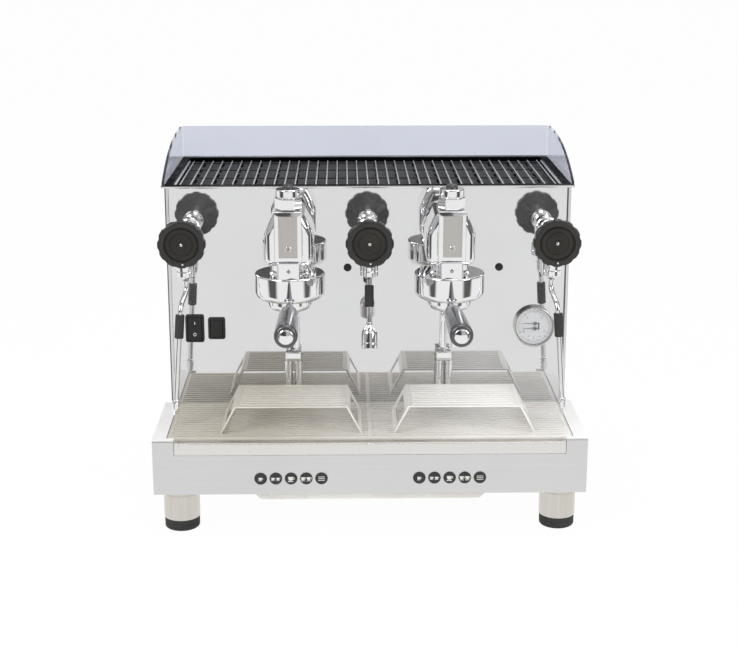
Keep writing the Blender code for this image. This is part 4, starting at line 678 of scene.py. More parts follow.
# bands and strips: (place, brightness) of what polished metal sees around it
room = {
    "floor": (0.90, 0.90, 0.89), "floorShown": 0.97, "skyLight": 0.62,
    "floorTint": (1.0, 0.93, 0.86), "skyTint": (0.97, 0.98, 1.0), "bandSlope": -4.0, "bandStart": -2.0,
    "floorBands": ((0.0, 0.9), (0.24, 0.95), (0.27, 0.7), (0.305, 0.10), (0.372, 0.08), (0.395, 1.0),
                   (0.605, 1.0), (0.63, 0.10), (0.69, 0.08), (0.72, 0.9), (0.80, 1.0)),
    "skyBands": ((0.0, 0.10), (0.30, 0.07), (0.46, 0.10), (0.56, 0.95), (0.80, 1.0), (0.88, 0.5)),
    "skyStrips": ((0.0, 0.9), (0.12, 0.8), (0.20, 0.06), (0.40, 0.05), (0.50, 0.12), (0.55, 0.95),
                  (0.72, 1.0), (0.85, 0.3)),
}

softBoxes = (  # name, place, target, width, height, power
    ("keyBox", (-1.5, -1.5, 1.7), (0, -0.05, 0.3), 1.0, 1.3, 26.0),
    ("fillBox", (1.7, -1.2, 1.2), (0, -0.05, 0.3), 0.8, 1.2, 14.0),
    ("topBox", (0.1, 0.1, 2.2), (0, 0, 0.4), 1.6, 1.2, 16.0),
)


def rampNode(tree, factor, stops, tint=(1.0, 1.0, 1.0)):
    # stops: (place, brightness); the darker a stop, the more of the tint it takes
    node = tree.nodes.new("ShaderNodeValToRGB")
    ramp = node.color_ramp
    while len(ramp.elements) < len(stops):
        ramp.elements.new(0.5)
    for element, (spot, value) in zip(ramp.elements, stops):
        element.position = spot
        element.color = (*[value * (1 - (1 - value) * (1 - part)) for part in tint], 1)
    tree.links.new(factor, node.inputs["Fac"])
    return node.outputs[0]


def floorMaterial():
    # pale ground that keeps a faint shadow and shows white to the camera and in the steel
    material = bpy.data.materials.new("studioFloor")
    material.use_nodes = True
    tree = material.node_tree
    shader = tree.nodes["Principled BSDF"]
    shader.inputs["Base Color"].default_value = (*room["floor"], 1)
    shader.inputs["Roughness"].default_value = 0.9
    glow = tree.nodes.new("ShaderNodeEmission")
    glow.inputs["Strength"].default_value = 1.0
    ray = tree.nodes.new("ShaderNodeLightPath")
    parts = splitNode(tree, tree.nodes.new("ShaderNodeTexCoord").outputs["Object"])
    forward = mathNode(tree, "MULTIPLY", parts["Y"], -1.0)
    turn = mathNode(tree, "DIVIDE", mathNode(tree, "ARCTAN2", parts["X"], forward), math.tau)
    turn = mathNode(tree, "ADD", turn, 0.5)
    bands = rampNode(tree, turn, room["floorBands"], room["floorTint"])
    # the bands lie on the floor well in front of the machine
    far = mathNode(tree, "MULTIPLY_ADD", parts["Y"], room["bandSlope"], room["bandStart"], clamp=True)
    mask = mathNode(tree, "MULTIPLY", far, ray.outputs["Is Glossy Ray"])
    tree.links.new(mixColours(tree, mask, (1.0, 1.0, 1.0), bands), glow.inputs["Color"])
    seen = mathNode(tree, "MAXIMUM", ray.outputs["Is Camera Ray"], ray.outputs["Is Glossy Ray"])
    seen = mathNode(tree, "MAXIMUM", seen, ray.outputs["Is Transmission Ray"])
    mix = tree.nodes.new("ShaderNodeMixShader")
    tree.links.new(mathNode(tree, "MULTIPLY", seen, room["floorShown"]), mix.inputs[0])
    tree.links.new(shader.outputs[0], mix.inputs[1])
    tree.links.new(glow.outputs[0], mix.inputs[2])
    tree.links.new(mix.outputs[0], tree.nodes["Material Output"].inputs["Surface"])
    return material


clearSelection()
bpy.ops.mesh.primitive_plane_add(size=60, location=(0, 0, 0))
floor = bpy.context.object
floor.name = "studioFloor"
floor.data.materials.append(floorMaterial())


def buildSky():
    # plain soft light, a white backdrop, and darker bands that only polished metal sees
    sky = bpy.data.worlds.new("studioSky")
    bpy.context.scene.world = sky
    sky.use_nodes = True
    tree = sky.node_tree
    plain = tree.nodes["Background"]
    parts = splitNode(tree, tree.nodes.new("ShaderNodeTexCoord").outputs["Generated"])
    height = rampNode(tree, parts["Z"], room["skyBands"], room["skyTint"])
    across = mathNode(tree, "MULTIPLY_ADD", parts["X"], 0.5, 0.5)
    strips = rampNode(tree, across, room["skyStrips"])
    shown = mixColours(tree, 0.5, height, strips)
    ray = tree.nodes.new("ShaderNodeLightPath")
    soft = mixColours(tree, ray.outputs["Is Glossy Ray"], [room["skyLight"]] * 3, shown)
    white = mathNode(tree, "MAXIMUM", ray.outputs["Is Camera Ray"], ray.outputs["Is Transmission Ray"])
    tree.links.new(mixColours(tree, white, soft, (1.0, 1.0, 1.0)), plain.inputs["Color"])
    plain.inputs["Strength"].default_value = 1.0


buildSky()


def softBox(name, place, target, width, height, power):
    bpy.ops.object.light_add(type="AREA", location=place)
    lamp = bpy.context.object
    lamp.name = name
    lamp.data.shape = "RECTANGLE"
    lamp.data.size = width
    lamp.data.size_y = height
    lamp.data.energy = power
    aim = Vector(target) - Vector(place)
    lamp.rotation_euler = aim.to_track_quat("-Z", "Y").to_euler()
    return lamp


for box in softBoxes:
    softBox(*box)
print("camera and light ready")

# places that several pieces share, in metres
levels = {"panel": 0.00165, "front": -0.17735, "rear": 0.30165}
groupXs = {"left": -0.117, "right": 0.117}
groupY = -0.11335
bellZ = 0.352
tapXs = {"left": -0.2735, "centre": 0.0, "right": 0.2735}
tapY = -0.06835
tapZ = 0.4325
ballZ = 0.377


def arcPoints(centre, radius, start, end, steps):
    turns = [math.radians(start + (end - start) * step / steps) for step in range(steps + 1)]
    return [(centre[0] + radius * math.cos(turn), centre[1] + radius * math.sin(turn)) for turn in turns]


def aimPiece(piece, origin, direction):
    # turns a piece modelled along +Z at the origin and sets it down
    choose(piece)
    turn = Vector(direction).to_track_quat("Z", "Y").to_matrix().to_4x4()
    piece.matrix_world = Matrix.Translation(Vector(origin)) @ turn
    settle()
    return piece


def screwHead(name, radius, proud):
    # low domed head with a straight slot, looking along +Z at the origin
    head = spinShape(name, [
        (0, -proud), (radius, -proud), (radius, proud * 0.45), (radius * 0.8, proud * 0.85), (0, proud),
    ], steps=28, soft=radius * 0.06)
    cutAway(head, block("slotCutter", (-radius * 1.2, -radius * 0.13, proud * 0.4),
                        (radius * 1.2, radius * 0.13, proud * 2)))
    smoothFaces(head)
    return head


# node, new name, body, slot, look and the radius of its folds
sheets = (
    ("base_frame", "baseHousing", "machine", "brushed_steel", "frontSteel", 0.0007),
    ("drain_box", "drainBox", "machine", "brushed_steel", "panSteel", 0.0012),
    ("side_panel_left", "sidePanelLeft", "machine", "mirror_steel", "flankSteel", 0.0005),
    ("side_panel_right", "sidePanelRight", "machine", "mirror_steel", "flankSteel", 0.0005),
    ("rear_panel", "rearPanel", "machine", "brushed_steel", "sideSteel", 0.0003),
    ("cup_tray", "cupTray", "machine", "brushed_steel", "rimSteel", 0.0012),
    ("drip_tray", "dripTrayPan", "drip_tray", "brushed_steel", "panSteel", 0.0004),
    ("drip_tray_front", "dripTrayLip", "drip_tray", "brushed_steel", "lipSteel", 0.0009),
    ("drip_grid", "dripGrid", "drip_grid", "brushed_steel", "gridSteel", 0.0004),
    ("cup_riser_left", "cupRiserLeft", "cup_riser_left", "brushed_steel", "gridSteel", 0.0004),
    ("cup_riser_right", "cupRiserRight", "cup_riser_right", "brushed_steel", "gridSteel", 0.0004),
    ("cup_guard", "cupGuard", "machine", "guard_sheet", "guardClear", 0.0003),
)
for node, name, body, slot, look, width in sheets:
    sheetFromNode(node, name, body, slot, looks[look], width)
print("sheet parts ready")

# lengths in metres, slotTurn in degrees; Y and Z are steps from the bell's lower centre, but coverScrewZ
# is a height above the floor
group = {
    "bellRadius": 0.0515, "bellHeight": 0.038, "bellRound": 0.011, "bellEdge": 0.0025,
    "bore": 0.0385, "boreDepth": 0.026, "lip": 0.0335, "lipHeight": 0.006,
    "slotHalf": 0.0077, "slotTop": 0.00635, "slotTurn": -45,
    "castingY": -0.0295, "castingDepth": 0.0855, "castingRound": 0.012, "columnRound": 0.0028,
    "nutY": -0.02575, "coverY": -0.0458, "skinDepth": 0.0052, "coverScrew": 0.003, "coverScrewZ": 0.435,
    "bossY": -0.0495, "bossScrew": 0.0031, "bossScrewZ": 0.05,
}


# each group is modelled on the left and copied to the right
def buildBell(at):
    # the bell with its bayonet lip and the two slots that the ears enter by
    profile = [(0, group["boreDepth"]), (group["bore"], group["boreDepth"]),
               (group["bore"], group["lipHeight"]), (group["lip"], group["lipHeight"]), (group["lip"], 0)]
    corner = group["bellRadius"] - group["bellRound"]
    profile += arcPoints((corner, group["bellRound"]), group["bellRound"], -90, 0, 8)
    edge = group["bellEdge"]
    profile += arcPoints((group["bellRadius"] - edge, group["bellHeight"] - edge), edge, 0, 90, 4)
    profile.append((0, group["bellHeight"]))
    bell = spinShape("groupBellLeft", profile, at, steps=96, smooth=30)
    slot = block("slotCutter", (-group["bore"], -group["slotHalf"], -0.001),
                 (group["bore"], group["slotHalf"], group["slotTop"]))
    turn = Matrix.Rotation(math.radians(group["slotTurn"]), 4, "Z")
    choose(slot)
    slot.matrix_world = Matrix.Translation(Vector(at)) @ turn
    settle()
    cutAway(bell, slot)
    smoothFaces(bell, 30)
    return bell


def buildCasting(at):
    throat = spinShape("throat", [
        (0, 0.0355), (0.0305, 0.0355), (0.0305, 0.0385), (0.028, 0.041), (0.028, 0.0555), (0, 0.0555),
    ], at, steps=64, soft=0.0006)
    half = 0.0355
    outline = [(-half, 0.0515), (half, 0.0515), (half, 0.099), (0.020, 0.134), (-0.020, 0.134),
               (-half, 0.099)]
    outline = [near(at, across, group["castingY"], up) for across, up in outline]
    casting = outlineShape("groupCastingLeft", outline, (0, group["castingDepth"], 0),
                           soft=group["castingRound"], segments=8)
    neck = spinShape("neck", [
        (0, 0.050), (0.0245, 0.050), (0.0245, 0.1040), (0.0265, 0.1057), (0.0335, 0.1057), (0.035, 0.1072),
        (0.035, 0.1147), (0.0245, 0.1147), (0.0245, 0.135), (0, 0.135),
    ], near(at, 0, 0, 0.078), axis="Y", steps=64)
    return joinPieces("groupCastingLeft", [casting, throat, neck])


def buildColumn(at):
    soft = group["columnRound"]
    column = block("groupColumnLeft", near(at, -0.019, -0.0455, 0.061), near(at, 0.019, -0.006, 0.136),
                   soft, 4)
    boss = block("boss", near(at, -0.0165, group["bossY"], 0.0355), near(at, 0.0165, -0.006, 0.0638), soft, 4)
    return joinPieces("groupColumnLeft", [column, boss])


def buildCover(at):
    # the plate's middle is raised, and the brushed face is let into it
    face = near(at, 0, group["coverY"], 0)
    plate = block("groupCoverLeft", near(face, -0.0197, -0.0039, 0.0643), near(face, 0.0197, 0, 0.136))
    choose(plate)
    bpy.ops.object.mode_set(mode="EDIT")
    bpy.ops.mesh.select_mode(type="FACE")
    bpy.ops.mesh.select_all(action="DESELECT")
    bpy.ops.object.mode_set(mode="OBJECT")
    for polygon in plate.data.polygons:
        polygon.select = polygon.normal.y < -0.9
    bpy.ops.object.mode_set(mode="EDIT")
    bpy.ops.mesh.inset(thickness=0.0058, depth=0.0016)
    bpy.ops.mesh.inset(thickness=0.0006, depth=-0.0005)
    closeEdit()
    softenEdges(plate, 0.0008, 3, 60)
    smoothFaces(plate, 25)
    finishSides(plate, groupXs, "machine", "satin_nickel", "chrome", "group_cover_{}")
    front = face[1] - group["skinDepth"]
    skin = block("groupCoverFaceLeft", (face[0] - 0.0132, front, face[2] + 0.0708),
                 near(face, 0.0132, -0.0030, 0.1295), soft=0.0003)
    finishSides(skin, groupXs, "machine", "satin_nickel", "coverNickel")
    ring = spinShape("coverScrewRingLeft", [
        (0, 0), (0.0046, 0), (0.0046, -0.0008), (0.0040, -0.0013), (0.0034, -0.0013), (0.0034, -0.0006),
        (0, -0.0006),
    ], (face[0], front, group["coverScrewZ"]), axis="Y", steps=40)
    finishSides(ring, groupXs, "machine", "chrome", "rodSteel")
    screws = (
        ("coverScrewLeft", group["coverScrew"], 0.0010, (face[0], front - 0.0006, group["coverScrewZ"])),
        ("bossScrewLeft", group["bossScrew"], 0.0012, near(at, 0, group["bossY"], group["bossScrewZ"])),
    )
    for name, radius, proud, spot in screws:
        screw = aimPiece(screwHead(name, radius, proud), spot, (0, -1, 0))
        finishSides(screw, groupXs, "machine", "chrome", "coverNickel")


def buildGroups():
    at = (groupXs["left"], groupY, bellZ)
    top = near(at, 0, group["nutY"], 0)
    finishSides(buildBell(at), groupXs, "machine", "chrome", "chrome", "group_body_{}")
    nut = spinShape("groupHexLeft", [
        (0, 0.1352), (0.0155, 0.1352), (0.0155, 0.1368), (0.0180, 0.1368), (0.0195, 0.1379), (0.0195, 0.1522),
        (0.0180, 0.1538), (0, 0.1538),
    ], top, steps=6, soft=0.0004, smooth=12)
    cap = spinShape("groupCapLeft", [
        (0, 0.1536), (0.0166, 0.1536), (0.0166, 0.1548), (0.0178, 0.1556), (0.0178, 0.1640), (0.0172, 0.1655),
        (0.0158, 0.1663), (0, 0.1663),
    ], top, steps=64, soft=0.0003)
    plug = spinShape("groupCapPlugLeft", [
        (0, 0.1658), (0.0085, 0.1658), (0.0085, 0.1700), (0.0074, 0.1713), (0.0030, 0.1713), (0.0024, 0.1702),
        (0, 0.1702),
    ], top, steps=40)
    gasket = spinShape("groupGasketLeft", [
        (0.0296, 0.0212), (0.0306, 0.0208), (0.0372, 0.0208), (0.0382, 0.0216), (0.0382, 0.0262),
        (0.0296, 0.0262), (0.0296, 0.0212),
    ], at, steps=64)
    screen = spinShape("groupScreenLeft", [
        (0, 0.0229), (0.0052, 0.0229), (0.0056, 0.0233), (0.0105, 0.0233), (0.0108, 0.0229), (0.0165, 0.0229),
        (0.0168, 0.0233), (0.0225, 0.0233), (0.0228, 0.0229), (0.0270, 0.0226), (0.0288, 0.0230),
        (0.0288, 0.0262), (0, 0.0262),
    ], at, steps=64)
    for piece, look in ((buildCasting(at), "chrome"), (buildColumn(at), "chrome"), (nut, "chrome"),
                        (cap, "chrome"), (plug, "handleRing"), (gasket, "gasketRubber"),
                        (screen, "rodSteel")):
        finishSides(piece, groupXs, "machine", "chrome", look)
    buildCover(at)


buildGroups()
print("brew groups ready")

# turn in degrees; handleStart and handleEnd are measured forward from the group's axis
filterWork = {
    "bowl": 0.0325, "wall": 0.004, "rim": 0.0204, "spoutSpread": 0.0085, "spoutEnd": 0.077, "drop": 0.0095,
    "turn": {"left": 0.0, "right": 1.5}, "handleStart": 0.0563, "handleEnd": 0.1853,
}


def finishFilter(piece, slot, look, *nodes):
    # each portafilter stands at an angle of its own about the group's axis
    for side, made in eachSide(piece, groupXs):
        turn = math.radians(filterWork["turn"][side])
        if turn:
            there = Matrix.Translation(Vector((groupXs[side], groupY, 0)))
            choose(made)
            made.matrix_world = there @ Matrix.Rotation(turn, 4, "Z") @ there.inverted()
            settle()
        finishPiece(made, "portafilter_" + side, slot, looks[look], *[node.format(side) for node in nodes])


def buildPortafilters():
    at = (groupXs["left"], groupY, bellZ)
    outer, rim = filterWork["bowl"], filterWork["rim"]
    inner = outer - filterWork["wall"]
    bowl = spinShape("bowl", [
        (0, -0.012), (0.0220, -0.012), (0.0262, -0.0108), (inner, -0.0075), (inner, rim - 0.001),
        (0.0292, rim), (0.0318, rim), (outer, 0.0197), (outer, -0.0070), (0.0317, -0.0110), (0.0295, -0.0143),
        (0.0265, -0.0160), (0.0180, -0.0195), (0.0140, -0.0225), (0.0130, -0.0245), (0.0130, -0.0270),
        (0, -0.0270),
    ], at, steps=80, smooth=40)
    # the two ears turn in the bell's bayonet lip
    ear = block("ear", near(at, -0.0371, -0.007, 0.0067), near(at, -0.0300, 0.007, 0.0127), soft=0.001)
    ears = copiesAt(ear, [(0.0671, 0, 0)])
    yoke = block("yoke", near(at, -0.0137, -0.0075, -0.037), near(at, 0.0137, 0.0075, -0.025), soft=0.0034,
                 segments=4)
    arm = spinShape("arm", [
        (0, -0.0240), (0.0075, -0.0240), (0.0075, -0.0500), (0.0086, -0.0512), (0.0092, -0.0520),
        (0.0092, -0.0552), (0.0086, -0.0560), (0.0040, -0.0560), (0.0040, -0.0760), (0, -0.0760),
    ], near(at, 0, 0, -filterWork["drop"]), axis="Y", steps=40, soft=0.0002)
    spout = spinShape("spout", [
        (0, -0.059), (0.0034, -0.059), (0.0036, -0.0768), (0.0042, -filterWork["spoutEnd"]),
        (0.0047, -0.0766), (0.0052, -0.0740), (0.0052, -0.0330), (0.0040, -0.0310), (0, -0.0310),
    ], near(at, -filterWork["spoutSpread"], 0, 0), steps=32)
    spouts = copiesAt(spout, [(2 * filterWork["spoutSpread"], 0, 0)])
    piece = joinPieces("portafilterLeft", [bowl] + ears + [yoke, arm] + spouts)
    finishFilter(piece, "chrome", "chrome", "portafilter_{}")
    basket = spinShape("basketLeft", [
        (0, -0.0088), (0.0215, -0.0088), (0.0250, -0.0076), (0.0262, -0.0040), (0.0276, 0.0188),
        (0.0290, 0.0208), (0.0312, 0.0211), (0.0312, 0.0206), (0.0292, 0.0203), (0.0280, 0.0186),
        (0.0268, -0.0044), (0.0254, -0.0086), (0.0218, -0.0098), (0, -0.0098),
    ], at, steps=64)
    finishFilter(basket, "chrome", "rodSteel")


def buildHandles():
    at = (groupXs["left"], groupY, bellZ - filterWork["drop"])
    start, end = filterWork["handleStart"], filterWork["handleEnd"]
    grip = spinShape("handleGripLeft", [
        (0, -start - 0.0206), (0.0043, -start - 0.0206), (0.0043, -start), (0.0108, -start),
        (0.0119, -start - 0.0010), (0.0119, -start - 0.0050), (0.0113, -start - 0.0060),
        (0.0118, -start - 0.0075), (0.0132, -start - 0.0120), (0.0142, -start - 0.0240),
        (0.0148, -start - 0.0430), (0.0155, -start - 0.0740), (0.0160, -start - 0.1000),
        (0.0162, -end + 0.0130), (0.0162, -end + 0.0092), (0, -end + 0.0092),
    ], at, axis="Y", steps=64, smooth=30)
    finishFilter(grip, "handle_grey", "handleMetal", "handle_{}")
    ring = [(0, -end + 0.0095), (0.0157, -end + 0.0095), (0.0157, -end + 0.0088), (0.0162, -end + 0.0084)]
    ring += [(radius, -end + 0.0050 - along) for radius, along in arcPoints((0.0112, 0), 0.0050, 0, 90, 6)]
    ring += [(0.0108, -end), (0.0108, -end + 0.0008), (0, -end + 0.0008)]
    cap = spinShape("handleEndLeft", ring, at, axis="Y", steps=64)
    finishFilter(cap, "handle_grey", "handleRing")
    disc = spinShape("handleDiscLeft", [
        (0, -end + 0.0008), (0.0104, -end + 0.0008), (0.0104, -end - 0.0001), (0.0098, -end - 0.0007),
        (0.0080, -end - 0.0014), (0.0055, -end - 0.0023), (0.0028, -end - 0.0028), (0, -end - 0.0030),
    ], at, axis="Y", steps=56)
    finishFilter(disc, "handle_grey", "chrome")


buildPortafilters()
buildHandles()
print("portafilters ready")

tapWork = {"barrel": 0.0155, "flange": 0.017, "neck": 0.011, "branch": 0.009, "socket": 0.0135, "ball": 0.009}


def buildTaps():
    x = tapXs["left"]
    at = (x, levels["panel"], tapZ)
    wide, neck, flange = tapWork["barrel"], tapWork["neck"], tapWork["flange"]
    barrel = spinShape("tapBodyLeft", [
        (0, 0.018), (0.0085, 0.018), (0.0085, -0.0003), (0.0165, -0.0003), (flange, -0.0010),
        (flange, -0.0045), (wide, -0.0060), (0.0118, -0.0072), (neck, -0.0082), (neck, -0.0500),
        (0.0122, -0.0530), (0.0150, -0.0566), (wide, -0.0578), (wide, -0.0640), (0.0148, -0.0650),
        (wide, -0.0660), (wide, -0.0822), (0.0148, -0.0832), (0.0122, -0.0850), (0.0120, -0.0915),
        (0.0112, -0.0920), (0.0060, -0.0920), (0.0060, -0.0945), (0.0040, -0.0950), (0.0040, -0.1140),
        (0, -0.1140),
    ], at, axis="Y", steps=56, smooth=32)
    nut = spinShape("nut", [
        (0, -0.0200), (0.0118, -0.0200), (0.0128, -0.0207), (0.0128, -0.0285), (0.0118, -0.0292),
        (0, -0.0292),
    ], at, axis="Y", steps=6, soft=0.0003, smooth=12)
    socket, branch = tapWork["socket"], tapWork["branch"]
    profile = [(0, 0), (branch, 0), (branch, -0.0345), (0.0098, -0.0352), (0.0098, -0.0380),
               (0.0108, -0.0392), (0.0132, -0.0408), (socket, -0.0425), (socket, -0.0500), (0.0128, -0.0507),
               (socket, -0.0514), (socket, -0.0578), (0.0128, -0.0589), (0.0094, -0.0589)]
    # the socket is hollowed a little wider than the ball
    profile += [(radius, -0.0555 + along) for radius, along in arcPoints((0, 0), 0.0093, -18, 90, 10)]
    arm = spinShape("branch", profile, (x, tapY, tapZ), steps=56, smooth=32)
    body = joinPieces("tapBodyLeft", [barrel, nut, arm])
    finishSides(body, tapXs, "machine", "chrome", "chrome", "tap_body_{}")
    ball = spinShape("wandBallLeft", arcPoints((0, 0), tapWork["ball"], -90, 90, 18), (x, tapY, ballZ),
                     steps=40, smooth=60)
    finishSides(ball, tapXs, "wand_ball_{}", "chrome", "chrome", "wand_ball_{}")


wheel = {
    "y": -0.12235, "radius": 0.0352, "lobes": 12, "scallop": 0.010, "bite": 0.0018, "lip": 0.0003,
    "disc": 0.0232, "dot": 0.0013, "pin": 0.0021,
}


def scallopCutter(at):
    # a ring of cylinders, each of which bites into the wheel between two lobes
    cutters = []
    reach = wheel["radius"] + wheel["scallop"] - wheel["bite"]
    for index in range(wheel["lobes"]):
        angle = math.tau * index / wheel["lobes"] + math.pi / wheel["lobes"]
        spot = near(at, reach * math.cos(angle), 0.007, reach * math.sin(angle))
        clearSelection()
        bpy.ops.mesh.primitive_cylinder_add(
            vertices=48, radius=wheel["scallop"], depth=0.05, location=spot, rotation=(math.pi / 2, 0, 0),
        )
        settle()
        cutters.append(bpy.context.object)
    return joinPieces("scallopCutter", cutters)


def buildWheel():
    # modelled about the left tap's axis
    at = (tapXs["left"], wheel["y"], tapZ)
    outer = wheel["radius"]
    profile = [(0, 0.0030), (0.0240, 0.0030), (0.0246, 0.0018), (0.0254, 0.0018), (0.0258, 0.0012)]
    profile += arcPoints((0.0266, 0.0007), 0.0008, 180, 270, 3)
    profile += arcPoints((outer - 0.0034, 0.0032), 0.0034, -90, 0, 5)
    profile += [(outer, 0.0112), (outer - 0.0008, 0.0130), (outer - 0.0024, 0.0140), (0.0300, 0.0150),
                (0.0180, 0.0215), (0.0130, 0.0255), (0.0120, 0.0275), (0.0120, 0.0294), (0.0114, 0.0300),
                (0.0043, 0.0300), (0.0043, 0.0100), (0, 0.0100)]
    # the rounded front edge stands a little in front of the disc
    profile = [(radius, along - wheel["lip"] if index > 3 and along < 0.003 else along)
               for index, (radius, along) in enumerate(profile)]
    rim = spinShape("wheelRimLeft", profile, at, axis="Y", steps=144, smooth=32)
    cutAway(rim, scallopCutter(at))
    editAll(rim)
    closeEdit(closeness["cut"])
    softenEdges(rim, 0.0009, 3, 28)
    smoothFaces(rim, 32)
    disc = spinShape("wheelDiscLeft", [
        (0, 0.0031), (0.0230, 0.0031), (wheel["disc"], 0.0026), (wheel["disc"], 0.0006), (0.0228, 0.0001),
        (0.0220, -0.0001), (0.0200, 0.0002), (0.0172, 0.0003), (0.0167, 0.0009), (0.0160, 0.0009),
        (0.0155, 0.0003), (0.0078, 0.0004), (0.0073, -0.0001), (0.0060, -0.0002), (0.0055, 0.0004),
        (0, 0.0004),
    ], at, axis="Y", steps=80)
    pin = spinShape("wheelPinLeft", [
        (0, 0.0010), (wheel["pin"], 0.0010), (wheel["pin"], -0.0003), (wheel["pin"] * 0.6, -0.0008),
        (0, -0.0009),
    ], at, axis="Y", steps=24)
    dot = spinShape("wheelDotLeft",
                    [(0, 0.0006), (wheel["dot"], 0.0006), (wheel["dot"], -0.0002), (0, -0.0003)],
                    near(at, 0.0012, -0.0003, -0.0290), axis="Y", steps=20)
    return ((rim, "wheelPlastic", "handwheel_{}"), (disc, "wheelDisc"), (pin, "rodSteel"),
            (dot, "printPale"))


for piece, *finish in buildWheel():
    finishSides(piece, tapXs, "handwheel_{}", "wheel_black", *finish)
buildTaps()
print("taps and handwheels ready")

# elbow and end are steps from the ball, lean in degrees
wand = {
    "tube": 0.004, "sleeve": 0.0068, "sleeveStart": 0.011, "sleeveLength": 0.036, "bend": 0.008, "tip": 0.024,
    "start": 0.0093, "drop": 0.026, "elbow": (0.007, -0.028, -0.044), "end": (0.0185, -0.040, -0.208),
    "holes": 4, "waterLean": 15, "waterLength": 0.078, "waterSleeveStart": 0.0175, "waterSleeveLength": 0.033,
}


def sleeveShape(name, radius, length, inner):
    edge = 0.0013
    return spinShape(name, [
        (inner, 0.0002), (inner + 0.0006, 0), (radius - edge, 0), (radius - edge * 0.3, edge * 0.3),
        (radius, edge), (radius, length * 0.30), (radius - 0.0003, length * 0.31), (radius, length * 0.32),
        (radius, length * 0.68), (radius - 0.0003, length * 0.69), (radius, length * 0.70),
        (radius, length - edge), (radius - edge * 0.3, length - edge * 0.3), (radius - edge, length),
        (inner + 0.0006, length), (inner, length - 0.0002), (inner, 0.0002),
    ], steps=40, smooth=40)


def steamTip():
    tip = spinShape("wandTip", [
        (0, 0), (0.0041, 0), (0.0050, 0.0008), (0.0057, 0.0018), (0.0057, 0.0046), (0.0053, 0.0050),
        (0.0057, 0.0054), (0.0058, 0.0125), (0.0052, 0.0180), (0.0040, 0.0225), (0.0028, 0.0238),
        (0.0010, 0.0240), (0.0010, 0.0225), (0, 0.0225),
    ], steps=40)
    holes = []
    for index in range(wand["holes"]):
        angle = math.tau * (index + 0.5) / wand["holes"]
        clearSelection()
        bpy.ops.mesh.primitive_cylinder_add(
            vertices=12, radius=0.0006, depth=0.006,
            location=(0.0042 * math.cos(angle), 0.0042 * math.sin(angle), 0.0212),
            rotation=(0, math.pi / 2 - 0.5, angle),
        )
        holes.append(bpy.context.object)
    cutAway(tip, joinPieces("steamHoles", holes))
    smoothFaces(tip)
    return tip


def steamFittings():
    # collar, sleeve and tip, looking along +Z at the origin
    collar = spinShape("wandCollar", [
        (0.0030, 0), (0.0046, 0), (0.0052, 0.0008), (0.0052, 0.0038), (0.0046, 0.0046), (0.0030, 0.0046),
        (0.0030, 0),
    ], steps=32)
    return collar, sleeveShape("wandSleeve", wand["sleeve"], wand["sleeveLength"], wand["tube"]), steamTip()


def buildSteamWand(side, collar, sleeve, tip):
    title = side.title()
    node = "steam_wand_" + side
    sign = -1 if side == "left" else 1
    hub = Vector((tapXs[side], tapY, ballZ))
    first = hub + Vector((0, 0, -wand["drop"]))
    elbow, end = [hub + Vector((sign * across, along, up))
                  for across, along, up in (wand["elbow"], wand["end"])]
    length = (end - elbow).length
    run = (end - elbow).normalized()
    stop = elbow + run * (length - wand["tip"] + 0.002)
    tube = tubeShape("steamWand" + title, [hub + Vector((0, 0, -wand["start"])), first, elbow, stop],
                     wand["tube"], wand["bend"])
    finishPiece(tube, node, "chrome", looks["wandSteel"], node)
    for model, spot, way, look in (
        (collar, hub + Vector((0, 0, -0.0098)), (0, 0, -1), "chrome"),
        (sleeve, elbow + run * wand["sleeveStart"], run, "gripRubber"),
        (tip, elbow + run * (length - wand["tip"]), run, "chrome"),
    ):
        finishPiece(aimPiece(ownCopy(model, model.name + title), spot, way), node, "chrome", looks[look])


def buildWaterWand():
    hub = Vector((0, tapY, ballZ))
    lean = math.radians(wand["waterLean"])
    run = Vector((0, -math.sin(lean), -math.cos(lean)))
    tube = tubeShape("waterWand", [hub + run * wand["start"], hub + run * wand["waterLength"]], wand["tube"])
    finishPiece(tube, "water_wand", "chrome", looks["wandSteel"], "water_wand")
    sleeve = sleeveShape("waterSleeve", wand["sleeve"], wand["waterSleeveLength"], wand["tube"])
    finishPiece(aimPiece(sleeve, hub + run * wand["waterSleeveStart"], run), "water_wand", "chrome",
                looks["gripRubber"])
    nozzle = spinShape("waterNozzle", [
        (0.0034, 0.0740), (0.0046, 0.0740), (0.0050, 0.0745), (0.0050, 0.0775), (0.0062, 0.0792),
        (0.0088, 0.0825), (0.0112, 0.0862), (0.0120, 0.0890), (0.0122, 0.0920), (0.0122, 0.1035),
        (0.0119, 0.1040), (0.0122, 0.1045), (0.0122, 0.1120), (0.0116, 0.1130), (0.0102, 0.1130),
        (0.0100, 0.1122), (0.0100, 0.1080), (0, 0.1080),
    ], steps=56, smooth=32)
    finishPiece(aimPiece(nozzle, hub, run), "water_wand", "chrome", looks["chrome"])
    mesh = spinShape("waterStrainer", [
        (0, 0.1085), (0.0099, 0.1085), (0.0099, 0.1098), (0.0090, 0.1098), (0.0082, 0.1092), (0.0070, 0.1098),
        (0.0058, 0.1092), (0.0046, 0.1098), (0.0034, 0.1092), (0.0020, 0.1098), (0, 0.1098),
    ], steps=40)
    finishPiece(aimPiece(mesh, hub, run), "water_wand", "chrome", looks["rodSteel"])


fittings = steamFittings()
for side in sides:
    buildSteamWand(side, *fittings)
dropModels(*fittings)
buildWaterWand()
print("wands ready")

